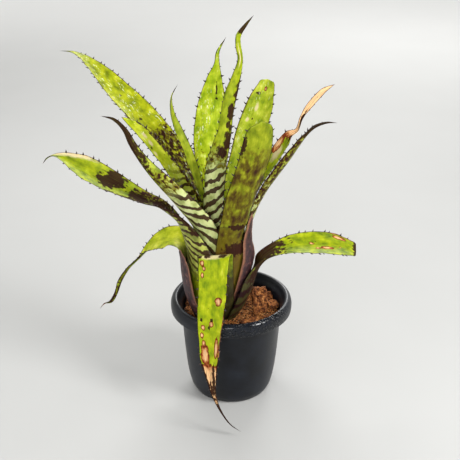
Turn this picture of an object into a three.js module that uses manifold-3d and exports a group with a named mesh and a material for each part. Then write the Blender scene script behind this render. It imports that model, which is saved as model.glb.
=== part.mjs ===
// Potted bromeliad: a leaf-tank rosette of fourteen living leaves and three dead sheaths, growing
// in coconut-husk chips in a round black nursery pot. Millimetres, +Z up, the origin on the floor at
// the centre of the pot's foot, -Y towards the leaf that hangs folded over the front of the rim.
import * as THREE from 'three';
import { mergeVertices } from 'three/addons/utils/BufferGeometryUtils.js';
import Module from 'manifold-3d';

const wasm = await Module();
wasm.setup();

const DEG = Math.PI / 180;

// Room left between pieces that touch
const GAP = 0.4;

// Pot. Outlines are drawn as [radius, height].
const POT_HEIGHT = 111.6;
const RIM_RADIUS = 65;
const FOOT_RADIUS = 38.6;
const WALL = 1.4;
const POT_SIDES = 48;
const FLOOR_TOP = 4.6;
const FLOOR_UNDER = 2.4;
const DRAIN_HOLES = 6;
const DRAIN_RADIUS = 4;
const DRAIN_RING = 23;
// foot ring, rounded heel and nearly straight wall
const OUTER_WALL = [
  [FOOT_RADIUS, 0], [41.4, 1.6], [44.4, 8], [46.9, 19], [48.9, 33], [51, 56], [52.8, 82], [54, 100],
];
// rolled rim, hollow under its turned-down lip
const RIM = [
  [57, 106.4], [60.4, 107.6], [62.5, 105.4], [63.2, 101], [63.2, 97.6], [64.6, 97.6],
  [RIM_RADIUS, 101], [64.9, 105.2], [63.7, 109], [61.6, 111.1], [59.4, POT_HEIGHT], [57.8, 110.4],
  [56, 106.4], [53.2, 100.6],
];
// centre pad and the underside of the floor
const UNDERSIDE = [[0, 0], [13, 0], [14, FLOOR_UNDER], [31.4, FLOOR_UNDER], [32.4, 0]];

// Husk medium
const MEDIUM_LEVEL = 93;
const MEDIUM_FOOT = 5;
const MEDIUM_FOOT_RADIUS = 39;
const MEDIUM_RADIUS = 51;
const SHOULDER = 1.2;
const TOP_RINGS = 5;

// Stem base: its outline, the room left round it in the medium, and the hollow that opens above it
const STEM_FOOT = 80;
const STEM = [[12, STEM_FOOT], [18, 84], [21, 91], [19, 94.6]];
const STEM_TOP = 95.2;
const STEM_SIDES = 32;
const STEM_SLACK = 0.5;
const CROWN_HOLLOW = [[25, 95], [29, 105], [0, 105]];

// Rosette: the axis starts off the pot's centre and leans a little to the right
const CROWN = { x: -16, y: -8, z: 96 };
const LEAN = { x: 0.07, y: 0.015 };
const RINGS = 9;
// radius of the outermost and innermost sheath against height
const OUTER_SHEATH = [[96, 24], [110, 30.5], [128, 36.5], [148, 40], [172, 42]];
const INNER_SHEATH = [[96, 6.5], [110, 7.5], [128, 8.5], [148, 9.5], [172, 10.5]];
const SHEATH_LEVELS = [96, 110, 128, 148, 172];

// Leaf sections: a channel of even curve that thins out to its two margins
const LEAF_THICKNESS = 0.9;
const ACROSS = 6;
const STEP = 14;
// height over which a section turns from level, in the sheath, to square across the blade
const TURN_HEIGHT = 40;
const LEAST_HALF_WIDTH = 0.4;
const LEAST_BEND = 0.02;

function axisAt(z) {
  return new THREE.Vector3(CROWN.x + LEAN.x * (z - CROWN.z), CROWN.y + LEAN.y * (z - CROWN.z), z);
}

function alongTable(table, z) {
  for (let i = 1; i < table.length; i++) {
    if (z <= table[i][0]) {
      const [z0, r0] = table[i - 1];
      const [z1, r1] = table[i];
      return r0 + (r1 - r0) * (z - z0) / (z1 - z0);
    }
  }
  return table[table.length - 1][1];
}

function sheathRadius(ring, z) {
  const outer = alongTable(OUTER_SHEATH, z);
  const inner = alongTable(INNER_SHEATH, z);
  return outer + (inner - outer) * ring / RINGS;
}

// Each leaf: its sheath stands in one of the rings round the axis (0 outermost), then the blade
// runs through rows of [right, back, up, half width, half angle of its curve, roll].
const LEAVES = [
  {
    name: 'leaf_front_folded', colour: 0x9fbe22,
    sheath: { azimuth: -92, ring: 1.2, spread: [42, 26], top: 148 },
    blade: [
      [-16, -45, 174, 18, 14, 0], [-16, -50, 185, 18, 3, 0], [-17, -55, 184, 18, 3, 0],
      [-18, -65, 158, 17, 10, 0], [-20, -73, 128, 16, 16, 0], [-21, -79, 102, 13, 20, 0],
      [-21, -84, 82, 11, 25, 0], [-19, -88, 62, 6, 40, 0], [-17, -90, 47, 3.5, 60, 0],
      [-11, -93, 30, 2, 60, 20], [-1, -96, 14, 1.6, 50, 40], [11, -99, 6, 0.6, 40, 60],
    ],
  },
  {
    name: 'leaf_right_blunt', colour: 0xa3bd33,
    sheath: { azimuth: -14, ring: 0.2, spread: [52, 42], top: 128 },
    blade: [
      [27, -14, 147, 21, 40, 0], [34, -10, 159, 13, 60, 25], [46, -6, 166, 12, 50, 45],
      [61, -2, 170, 14, 36, 52], [77, 1, 171, 16, 28, 54], [93, 2, 171, 16.5, 26, 55],
      [112, 4, 168, 15, 24, 55], [126, 5, 164, 11.5, 20, 55], [131, 5, 162, 9, 18, 55],
      [132, 5, 161.5, 4, 18, 55],
    ],
  },
  {
    name: 'leaf_left_drooping', colour: 0x9cb83a,
    sheath: { azimuth: 152, ring: 1, spread: [40, 26], top: 148 },
    blade: [
      [-50, 13, 166, 15, 30, -10], [-57, 18, 170, 15, 30, -30], [-67, 24, 167, 15, 30, -45],
      [-79, 32, 159, 13, 35, -45], [-91, 38, 147, 8, 60, -40], [-101, 43, 134, 4, 80, -25],
      [-116, 48, 116, 3, 70, 10], [-126, 51, 99, 3, 60, 40], [-131, 52, 84, 2.5, 60, 40],
      [-138, 55, 70, 3, 60, 20], [-146, 59, 66, 1.5, 50, 0], [-153, 62, 57, 0.6, 40, 0],
    ],
  },
  {
    name: 'leaf_left_blotched', colour: 0x7f9a26,
    sheath: { azimuth: -146, ring: 2, spread: [48, 46], top: 172 },
    blade: [
      [-47, -22, 195, 17, 48, 0], [-56, -22, 211, 13, 60, -20], [-71, -20, 224, 12, 55, -40],
      [-85, -19, 230, 11.5, 45, -55], [-104, -19, 240, 14, 36, -62], [-127, -18, 253, 16.5, 30, -66],
      [-148, -18, 266, 15.5, 28, -66], [-163, -18, 275, 8, 30, -66], [-173, -19, 279, 2.5, 40, -50],
      [-180, -18, 276, 1.5, 40, -30], [-185, -18, 270, 0.6, 40, 0],
    ],
  },
  {
    name: 'leaf_front_banded', colour: 0x7d8a30,
    sheath: { azimuth: -66, ring: 3, spread: [42, 36], top: 172 },
    blade: [
      [0, -36, 193, 15, 36, 0], [5, -37, 215, 16, 38, 0], [11, -39, 240, 17, 38, 0],
      [18, -40, 262, 17, 36, 0], [23, -41, 280, 17, 34, 0], [26, -43, 297, 16.5, 30, 0],
      [28, -44, 312, 14, 26, 0], [29, -45, 319, 9, 24, 0], [29, -45, 323, 4, 20, 0],
    ],
  },
  {
    name: 'leaf_left_dark_tip', colour: 0x6a7038,
    sheath: { azimuth: -140, ring: 4, spread: [48, 50], top: 172 },
    blade: [
      [-33, -24, 198, 24, 55, 0], [-45, -30, 221, 21, 60, 5], [-58, -34, 241, 17, 62, 10],
      [-74, -36, 262, 12, 70, 15], [-87, -37, 281, 8, 75, 15], [-96, -37, 297, 6.5, 70, 10],
      [-102, -36, 311, 5, 60, 0], [-111, -35, 321, 3, 50, 0], [-123, -35, 325, 0.6, 40, 0],
    ],
  },
  {
    name: 'leaf_right_dark_tip', colour: 0x6e7a34,
    sheath: { azimuth: -14, ring: 4, spread: [45, 30], top: 172 },
    blade: [
      [21, -14, 206, 9, 52, 0], [30, -14, 229, 11.5, 55, -5], [42, -16, 251, 12, 58, -10],
      [54, -18, 270, 12, 60, -10], [64, -19, 286, 9.5, 60, -10], [73, -20, 300, 7, 60, -5],
      [81, -22, 309, 4.5, 55, 0], [91, -24, 314, 2.5, 50, 0], [101, -26, 315, 0.6, 40, 0],
    ],
  },
  {
    name: 'leaf_upper_left', colour: 0x8ea61f,
    sheath: { azimuth: 141, ring: 5, spread: [55, 50], top: 172 },
    blade: [
      [-26, 7, 201, 18, 50, 0], [-40, 19, 225, 17, 40, -10], [-57, 35, 251, 17, 34, -15],
      [-78, 52, 275, 17, 30, -15], [-98, 71, 292, 17, 28, -15], [-120, 91, 308, 15, 26, -15],
      [-141, 110, 324, 11, 26, -15], [-160, 126, 336, 6, 30, -10], [-177, 140, 340, 2.2, 40, 0],
      [-192, 152, 338, 0.6, 40, 0],
    ],
  },
  {
    name: 'leaf_right_dry_tip', colour: 0xa8ad4e,
    sheath: { azimuth: 20, ring: 5, spread: [50, 40], top: 172 },
    blade: [
      [14, 3, 205, 10, 50, 0], [29, 8, 239, 10, 45, 10], [45, 13, 264, 10, 40, 15],
      [54, 18, 277, 9, 40, 15], [60, 21, 286, 6, 60, 15], [67, 23, 290, 3, 80, 15],
      [71, 25, 302, 2.5, 80, 30], [78, 27, 314, 3.5, 50, 60], [92, 33, 328, 3, 40, 60],
      [104, 37, 334, 0.8, 40, 60],
    ],
  },
  {
    name: 'leaf_left_bright', colour: 0xa9cf1c,
    sheath: { azimuth: 172, ring: 5.8, spread: [40, 34], top: 172 },
    blade: [
      [-29, -5, 205, 8.4, 28, -5], [-40, -5, 226, 8.1, 22, -30], [-53, -1, 247, 8.1, 20, -40],
      [-66, 4, 265, 7.4, 19, -40], [-79, 8, 281, 7.4, 18, -40], [-93, 12, 296, 6.1, 16, -40],
      [-104, 16, 303, 3, 16, -40], [-110, 18, 306, 0.7, 16, -40],
    ],
  },
  {
    name: 'leaf_right_tall', colour: 0x93b02a,
    sheath: { azimuth: 58, ring: 6, spread: [50, 50], top: 172 },
    blade: [
      [-3, 4, 206, 12, 50, 0], [5, 10, 238, 14, 40, 0], [13, 18, 260, 15.5, 34, 0],
      [20, 26, 284, 16.5, 30, 0], [27, 33, 302, 16.5, 28, 0], [32, 38, 318, 14, 26, 0],
      [36, 42, 331, 9.5, 22, 0], [37, 43, 336, 7, 20, 0], [37, 43, 337.5, 3, 20, 0],
    ],
  },
  {
    name: 'leaf_twisted', colour: 0x84973c,
    sheath: { azimuth: -106, ring: 7.6, spread: [60, 54], top: 172 },
    blade: [
      [-19, -22, 205, 12.5, 54, 0], [-19, -22, 233, 12.5, 54, 0], [-17, -20, 259, 12, 50, 0],
      [-13, -17, 281, 11, 50, 0], [-8, -14, 299, 8.5, 50, 0], [-5, -11, 318, 7, 45, 0],
      [-1, -8, 337, 7, 45, 0], [5, -6, 354, 5, 50, 20], [9, -4, 370, 3.5, 60, 40],
      [7, -3, 384, 3.5, 60, 40], [7, -2, 393, 3, 60, 20], [13, 0, 402, 1.8, 50, 0],
      [21, 2, 411, 0.6, 40, 0],
    ],
  },
  {
    name: 'leaf_left_slender', colour: 0x7fa31c,
    sheath: { azimuth: 178, ring: 6.8, spread: [32, 25], top: 172 },
    blade: [
      [-26, -4, 207, 6.5, 28, 0], [-33, -7, 241, 7.5, 32, -15], [-39, -9, 264, 7.5, 34, -25],
      [-46, -8, 285, 6.5, 34, -30], [-53, -6, 302, 5.5, 34, -30], [-58, -5, 318, 4, 34, -20],
      [-58, -5, 334, 2.8, 34, 0], [-51, -5, 347, 0.6, 34, 0],
    ],
  },
  {
    name: 'leaf_centre_tall', colour: 0x93bb1a,
    sheath: { azimuth: 105, ring: 9, spread: [55, 55], top: 172 },
    blade: [
      [-16, 5, 214, 8, 40, -5], [-21, 9, 242, 13, 38, -10], [-23, 12, 268, 15, 34, -15],
      [-22, 14, 290, 16.5, 32, -15], [-20, 16, 310, 16, 28, -15], [-18, 17, 332, 12, 26, -15],
      [-16, 17, 349, 7, 28, -15], [-14, 16, 361, 3, 34, -15], [-13, 15, 373, 1.8, 34, -10],
      [-5, 12, 388, 0.6, 34, 0],
    ],
  },
];

// Old leaves of which only the sheath is left: rows of the same kind close them above.
const STUMPS = [
  {
    name: 'sheath_left_dead', colour: 0x4a3034,
    sheath: { azimuth: -162, ring: 0, spread: [40, 27], top: 148 },
    blade: [[-51, -19, 160, 17, 24, 0], [-52, -18, 170, 11, 15, 0], [-52, -18, 175, 5, 8, 0]],
  },
  {
    name: 'sheath_right_dead', colour: 0x3f2a38,
    sheath: { azimuth: -30, ring: 2, spread: [36, 20], top: 172 },
    blade: [[18, -23, 190, 9, 22, 0], [20, -22, 208, 6, 20, 0], [21, -22, 219, 3, 14, 0]],
  },
  {
    name: 'sheath_back_dead', colour: 0x55403a,
    sheath: { azimuth: 84, ring: 0, spread: [36, 32], top: 148 },
    blade: [[-10, 33, 164, 18, 26, 0], [-9, 35, 178, 12, 22, 0], [-8, 37, 188, 5, 16, 0]],
  },
];

function leafRows({ sheath, blade }) {
  const azimuth = sheath.azimuth * DEG;
  const [spreadLow, spreadHigh] = sheath.spread;
  const rows = [];
  for (const z of SHEATH_LEVELS) {
    if (z > sheath.top) {
      break;
    }
    const radius = sheathRadius(sheath.ring, z);
    const rise = (z - CROWN.z) / (sheath.top - CROWN.z);
    const spread = (spreadLow + (spreadHigh - spreadLow) * rise) * DEG;
    const outward = new THREE.Vector3(Math.cos(azimuth), Math.sin(azimuth), 0);
    const at = axisAt(z).addScaledVector(outward, radius);
    rows.push({ at, half: radius * spread, bend: spread, roll: 0 });
  }
  for (const [x, y, z, half, bend, roll] of blade) {
    rows.push({ at: new THREE.Vector3(x, y, z), half, bend: bend * DEG, roll: roll * DEG });
  }
  return rows;
}

// One leaf section: points along its inner skin from one margin to the other, then back along its outer skin
function sectionPoints({ at, inward, side, half, bend }) {
  const curve = half / bend;
  const thick = Math.min(LEAF_THICKNESS, half * 0.8) / 2;
  const skinPoint = (v, offset) => {
    const angle = v * bend;
    const skin = offset * Math.sqrt(1 - v ** 4);
    return at.clone()
      .addScaledVector(side, (curve - skin) * Math.sin(angle))
      .addScaledVector(inward, curve - (curve - skin) * Math.cos(angle));
  };
  const points = [];
  for (let i = 0; i <= ACROSS; i++) {
    points.push(skinPoint(-1 + 2 * i / ACROSS, thick));
  }
  for (let i = ACROSS - 1; i > 0; i--) {
    points.push(skinPoint(-1 + 2 * i / ACROSS, -thick));
  }
  return points;
}

// Faces of a sweep of closed sections that is capped at its foot and drawn to one point at its tip
function sweepFaces(count) {
  const ring = 2 * ACROSS;
  const tip = count * ring;
  const faces = [];
  for (let s = 0; s < count; s++) {
    for (let i = 0; i < ring; i++) {
      const a = s * ring + i;
      const b = s * ring + (i + 1) % ring;
      if (s === count - 1) {
        faces.push(a, b, tip);
      } else {
        faces.push(a, b, b + ring, a, b + ring, a + ring);
      }
    }
  }
  // the cap joins each point of the inner skin to the one behind it on the outer skin
  for (let i = 0; i < ACROSS; i++) {
    const behind = (ring - i) % ring;
    const nextBehind = ring - i - 1;
    if (behind !== i) {
      faces.push(i, behind, nextBehind);
    }
    if (nextBehind !== i + 1) {
      faces.push(i, nextBehind, i + 1);
    }
  }
  return faces;
}

// A leaf is swept along its midrib. In the sheath the sections lie level, as arcs about the axis;
// up the blade they turn square to the midrib. The first section is capped, the tip is one point.
function leafGeometry(leaf) {
  const rows = leafRows(leaf);
  const spans = rows.length - 1;
  const squareFrom = rows.length - leaf.blade.length + 1;
  const midrib = new THREE.CatmullRomCurve3(rows.map((row) => row.at), false, 'centripetal');
  const form = new THREE.CatmullRomCurve3(
    rows.map((row) => new THREE.Vector3(row.half, row.bend, row.roll)), false, 'catmullrom', 0.5);

  const places = [];
  for (let span = 0; span < spans; span++) {
    const steps = Math.max(1, Math.round(rows[span].at.distanceTo(rows[span + 1].at) / STEP));
    for (let i = 0; i < steps; i++) {
      places.push(span + i / steps);
    }
  }

  const azimuth = leaf.sheath.azimuth * DEG;
  const facing = new THREE.Vector3(-Math.cos(azimuth), -Math.sin(azimuth), 0);
  const up = new THREE.Vector3(0, 0, 1);
  const points = [];
  for (const place of places) {
    const at = midrib.getPoint(place / spans);
    const along = midrib.getTangent(place / spans);
    facing.addScaledVector(along, -facing.dot(along)).normalize();
    const risen = THREE.MathUtils.smoothstep(at.z, leaf.sheath.top, leaf.sheath.top + TURN_HEIGHT);
    const square = place >= squareFrom ? 1 : risen;
    const plane = up.clone().lerp(along, square).normalize();
    const shape = form.getPoint(place / spans);
    const inward = facing.clone().addScaledVector(plane, -facing.dot(plane)).normalize();
    inward.applyAxisAngle(plane, shape.z);
    const side = plane.clone().cross(inward);
    const half = Math.max(shape.x, LEAST_HALF_WIDTH);
    const bend = Math.max(shape.y, LEAST_BEND);
    points.push(...sectionPoints({ at, inward, side, half, bend }));
  }
  points.push(rows[spans].at);

  const geometry = new THREE.BufferGeometry().setFromPoints(points);
  geometry.setIndex(sweepFaces(places.length));
  geometry.computeVertexNormals();
  return geometry;
}

function toSolid(geometry) {
  const bare = geometry.clone();
  bare.deleteAttribute('normal');
  bare.deleteAttribute('uv');
  const merged = mergeVertices(bare);
  return new wasm.Manifold(new wasm.Mesh({
    numProp: 3,
    vertProperties: Float32Array.from(merged.attributes.position.array),
    triVerts: Uint32Array.from(merged.index.array),
  }));
}

function toGeometry(solid) {
  const mesh = solid.getMesh();
  const geometry = new THREE.BufferGeometry();
  geometry.setAttribute('position', new THREE.BufferAttribute(Float32Array.from(mesh.vertProperties), 3));
  geometry.setIndex(new THREE.BufferAttribute(Uint32Array.from(mesh.triVerts), 1));
  geometry.computeVertexNormals();
  return geometry;
}

function lathe(profile, sides) {
  const points = profile.map(([radius, height]) => new THREE.Vector2(radius, height));
  return new THREE.LatheGeometry(points, sides).rotateX(Math.PI / 2);
}

function cylinder(radius, from, to, sides) {
  return new THREE.CylinderGeometry(radius, radius, to - from, sides)
    .rotateX(Math.PI / 2).translate(0, 0, (from + to) / 2);
}

function potGeometry() {
  const inside = OUTER_WALL.slice(2, -1).reverse().map(([radius, height]) => [radius - WALL, height]);
  const floor = [[FOOT_RADIUS + 2, FLOOR_TOP], [0, FLOOR_TOP]];
  let solid = toSolid(lathe([...UNDERSIDE, ...OUTER_WALL, ...RIM, ...inside, ...floor], POT_SIDES));
  for (let i = 0; i < DRAIN_HOLES; i++) {
    const angle = 2 * Math.PI * (i + 0.5) / DRAIN_HOLES;
    const hole = cylinder(DRAIN_RADIUS, -2, FLOOR_TOP + 4, 16)
      .translate(DRAIN_RING * Math.cos(angle), DRAIN_RING * Math.sin(angle), 0);
    solid = solid.subtract(toSolid(hole));
  }
  return toGeometry(solid);
}

// Gentle swells of the medium's surface
function swell(x, y) {
  return 1.4 * Math.sin(x * 0.11 + 0.6) * Math.cos(y * 0.13) + 0.9 * Math.sin(x * 0.21 - y * 0.17) + 0.02 * x;
}

const CHIPS = [
  { name: 'husk_chip_upright', at: [31, -5, 107], size: [17, 29, 9], turn: 8, tilt: 72 },
  { name: 'husk_chip_right_1', at: [45, 5, 96.5], size: [12, 11, 6], turn: 60, tilt: 14 },
  { name: 'husk_chip_right_2', at: [37, 20, 97.5], size: [17, 11, 6], turn: 20, tilt: 24 },
  { name: 'husk_chip_right_3', at: [19, 31, 97], size: [16, 11, 6], turn: 150, tilt: -14 },
  { name: 'husk_chip_right_4', at: [40, -23, 95.6], size: [10, 8, 5], turn: -60, tilt: 8 },
  { name: 'husk_chip_front', at: [22, -31, 96], size: [19, 10, 5], turn: 24, tilt: 14 },
  { name: 'husk_chip_back_1', at: [-4, 37, 95.4], size: [18, 11, 5], turn: 4, tilt: -8 },
  { name: 'husk_chip_back_2', at: [-26, 32, 95], size: [14, 10, 5], turn: 150, tilt: 9 },
  { name: 'husk_chip_left', at: [-43, 15, 95], size: [14, 8, 4.5], turn: 70, tilt: 6 },
];

// A torn piece of husk: a lopsided seven-sided slab with broken edges, placed by its middle
const CHIP_SIDES = 7;
const CHIP_EDGE = 0.8;

function chipSlab({ size: [length, breadth, thickness] }) {
  const corners = [];
  for (let i = 0; i < CHIP_SIDES; i++) {
    const angle = 2 * Math.PI * i / CHIP_SIDES;
    const reach = 0.5 + 0.07 * Math.sin(3 * angle + length) + 0.04 * Math.cos(5 * angle + breadth);
    corners.push(new THREE.Vector2(length * reach * Math.cos(angle), breadth * reach * Math.sin(angle)));
  }
  const slab = new THREE.ExtrudeGeometry(new THREE.Shape(corners), {
    depth: thickness - 2 * CHIP_EDGE,
    steps: 1,
    bevelEnabled: true,
    bevelThickness: CHIP_EDGE,
    bevelSize: CHIP_EDGE,
    bevelSegments: 1,
  });
  return slab.translate(0, 0, CHIP_EDGE - thickness / 2);
}

function placeChip(object, { at, turn, tilt }) {
  object.rotation.set(tilt * DEG, 0, turn * DEG, 'ZYX');
  object.position.set(...at);
}

function stemGeometry() {
  return lathe([[0, STEM_FOOT], ...STEM, [0, STEM_TOP]], STEM_SIDES);
}

// The room for the stem: its outline moved out and down, then opened wide above
function stemPit() {
  const loose = STEM.slice(0, -1).map(([radius, height]) => [radius + STEM_SLACK, height - STEM_SLACK]);
  return lathe([[0, STEM_FOOT - STEM_SLACK], ...loose, ...CROWN_HOLLOW], STEM_SIDES)
    .translate(CROWN.x, CROWN.y, 0);
}

function mediumGeometry() {
  const side = OUTER_WALL.slice(2, -1).map(([radius, height]) => [radius - WALL - GAP, height]);
  const foot = [[0, MEDIUM_FOOT], [MEDIUM_FOOT_RADIUS, MEDIUM_FOOT]];
  const profile = [...foot, ...side, [MEDIUM_RADIUS + GAP, MEDIUM_LEVEL]];
  for (let i = 1; i <= TOP_RINGS; i++) {
    profile.push([MEDIUM_RADIUS * (1 - i / TOP_RINGS), MEDIUM_LEVEL + SHOULDER]);
  }
  const body = lathe(profile, POT_SIDES);
  const spots = body.attributes.position;
  for (let i = 0; i < spots.count; i++) {
    if (spots.getZ(i) > MEDIUM_LEVEL) {
      spots.setZ(i, spots.getZ(i) + swell(spots.getX(i), spots.getY(i)));
    }
  }
  let solid = toSolid(body).subtract(toSolid(stemPit()));
  for (const chip of CHIPS) {
    const socket = new THREE.Mesh(chipSlab(chip));
    placeChip(socket, chip);
    const [, breadth, thickness] = chip.size;
    const wider = 1 + 2 * GAP / breadth;
    socket.scale.set(wider, wider, 1 + 2 * GAP / thickness);
    socket.updateMatrix();
    solid = solid.subtract(toSolid(socket.geometry.clone().applyMatrix4(socket.matrix)));
  }
  // sockets can cut loose crumbs off the surface, so only the body is kept
  const pieces = solid.decompose();
  pieces.sort((a, b) => b.volume() - a.volume());
  return toGeometry(pieces[0]);
}

function addMesh(group, name, geometry, colour, roughness) {
  const material = new THREE.MeshStandardMaterial({ name, color: colour, roughness, metalness: 0 });
  const mesh = new THREE.Mesh(geometry, material);
  mesh.name = name;
  group.add(mesh);
  return mesh;
}

const plant = new THREE.Group();

addMesh(plant, 'pot', potGeometry(), 0x1e2023, 0.42);
addMesh(plant, 'growing_medium', mediumGeometry(), 0x6b3d20, 0.95);
const stem = addMesh(plant, 'stem_base', stemGeometry(), 0x5a4028, 0.9);
stem.position.set(CROWN.x, CROWN.y, 0);

for (const chip of CHIPS) {
  placeChip(addMesh(plant, chip.name, chipSlab(chip), 0xa4602e, 0.95), chip);
}
for (const leaf of [...LEAVES, ...STUMPS]) {
  addMesh(plant, leaf.name, leafGeometry(leaf), leaf.colour, 0.4);
}

export default plant;
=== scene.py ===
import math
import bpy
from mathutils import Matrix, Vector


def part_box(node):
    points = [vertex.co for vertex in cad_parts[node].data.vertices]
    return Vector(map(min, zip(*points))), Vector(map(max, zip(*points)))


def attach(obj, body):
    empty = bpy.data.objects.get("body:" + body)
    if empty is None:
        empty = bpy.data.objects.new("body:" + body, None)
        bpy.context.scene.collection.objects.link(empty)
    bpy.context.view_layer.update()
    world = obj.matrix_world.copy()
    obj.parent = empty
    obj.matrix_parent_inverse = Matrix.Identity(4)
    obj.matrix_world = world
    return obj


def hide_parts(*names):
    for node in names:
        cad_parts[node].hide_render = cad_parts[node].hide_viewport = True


bl_info = {
    "name": "Potted bromeliad",
    "version": (1, 0, 0),
    "blender": (4, 5, 0),
    "location": "View3D > Sidebar > Bromeliad",
    "description": "Grows a potted bromeliad's leaves, husk medium and nursery pot over its CAD frame",
    "category": "Add Mesh",
}

import bmesh
import bpy
import numpy as np

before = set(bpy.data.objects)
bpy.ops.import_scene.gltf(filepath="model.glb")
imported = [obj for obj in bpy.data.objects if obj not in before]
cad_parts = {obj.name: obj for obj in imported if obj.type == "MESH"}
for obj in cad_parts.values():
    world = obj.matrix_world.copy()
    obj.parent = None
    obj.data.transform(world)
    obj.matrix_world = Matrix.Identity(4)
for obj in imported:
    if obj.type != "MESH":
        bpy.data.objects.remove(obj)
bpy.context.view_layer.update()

MM = 0.001
SECTION_POINTS = 12  # points round one leaf section of the frame, margins at 0 and 6
CROWN = (-0.016, -0.008)  # the foot of the rosette's axis, in plan
DRAIN_HOLES = 6


# ---------------------------------------------------------------- colour and nodes


def linear(code):
    """An sRGB hex colour as linear RGBA: v / 12.92 up to 0.04045, ((v + 0.055) / 1.055) ** 2.4 above it."""
    srgb = np.array([int(code[i : i + 2], 16) / 255 for i in (1, 3, 5)])
    value = np.where(srgb <= 0.04045, srgb / 12.92, ((srgb + 0.055) / 1.055) ** 2.4)
    return (*value.tolist(), 1.0)


def add(tree, kind, inputs=None, out=0, stops=None, **settings):
    """Adds one shader node with its settings, values and links, and returns one output, or the node if out is None."""
    node = tree.nodes.new("ShaderNode" + kind)
    for name, value in settings.items():
        setattr(node, name, value)
    for key, value in (inputs or {}).items():
        if isinstance(value, bpy.types.NodeSocket):
            tree.links.new(value, node.inputs[key])
        else:
            node.inputs[key].default_value = value
    if stops:
        ramp = node.color_ramp.elements
        while len(ramp) < len(stops):
            ramp.new(0.5)
        for element, (position, code) in zip(ramp, stops):
            element.position = position
            element.color = linear(code)
    return node.outputs[out] if out is not None and node.outputs else node


def new_material(name):
    """A material with an empty node tree, ready for add()."""
    material = bpy.data.materials.new(name)
    material.use_nodes = True
    material.node_tree.nodes.clear()
    return material, material.node_tree


# ---------------------------------------------------------------- numpy surfaces


def ripple(u, v, seed):
    """Value noise from -1 to 1: a lattice of random values, blended by 3t^2 - 2t^3 between whole u and v."""
    table = np.random.default_rng(seed).uniform(-1, 1, (64, 64))
    u, v = np.broadcast_arrays(u, v)
    i, j = np.floor(u).astype(int), np.floor(v).astype(int)
    a, b = u - i, v - j
    a, b = a * a * (3 - 2 * a), b * b * (3 - 2 * b)
    low = table[i % 64, j % 64] * (1 - a) + table[(i + 1) % 64, j % 64] * a
    high = table[i % 64, (j + 1) % 64] * (1 - a) + table[(i + 1) % 64, (j + 1) % 64] * a
    return low * (1 - b) + high * b


def ease(x, low, high):
    """Smoothstep: 0 below low, 1 above high, 3t^2 - 2t^3 between."""
    t = np.clip((x - low) / (high - low), 0, 1)
    return t * t * (3 - 2 * t)


def spline(knots, at):
    """Weights, len(at) by len(knots), of the cubic Hermite curve through the knots.

    Its slope at a knot is that of the straight line from the knot before to the knot after.
    """
    knots, at = np.asarray(knots, float), np.asarray(at, float)
    count = len(knots)
    after = np.minimum(np.arange(count) + 1, count - 1)
    before = np.maximum(np.arange(count) - 1, 0)
    eye = np.eye(count)
    slope = (eye[after] - eye[before]) / (knots[after] - knots[before])[:, None]
    k = np.clip(np.searchsorted(knots, at, side="right") - 1, 0, count - 2)
    h = knots[k + 1] - knots[k]
    u = (at - knots[k]) / h
    return (
        (2 * u**3 - 3 * u**2 + 1)[:, None] * eye[k]
        + ((u**3 - 2 * u**2 + u) * h)[:, None] * slope[k]
        + (3 * u**2 - 2 * u**3)[:, None] * eye[k + 1]
        + ((u**3 - u**2) * h)[:, None] * slope[k + 1]
    )


def unit(vectors):
    """Vectors divided by their lengths."""
    return vectors / np.maximum(np.linalg.norm(vectors, axis=-1, keepdims=True), 1e-9)


def grid_faces(rows, columns, start=0, closed=True):
    """Quads of a grid of points stored row by row, whose columns close on themselves if asked."""
    i = np.arange(rows - 1)[:, None] * columns
    j = np.arange(columns if closed else columns - 1)[None, :]
    k = (j + 1) % columns
    return start + np.stack([i + j, i + k, i + columns + k, i + columns + j], -1).reshape(-1, 4)


def fan(first, count, hub, backward=False):
    """Triangles that close a pole: from each side of a closed row of points to one hub point."""
    j = first + np.arange(count)
    k = first + (np.arange(count) + 1) % count
    return np.stack([k, j, np.full(count, hub)] if backward else [j, k, np.full(count, hub)], -1)


def signed_volume(points, triangles):
    """Six times the volume a closed mesh encloses: the sum of its corners' triple products."""
    a, b, c = (points[triangles[:, i]] for i in range(3))
    return np.einsum("ij,ij->", a, np.cross(b, c))


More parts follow.
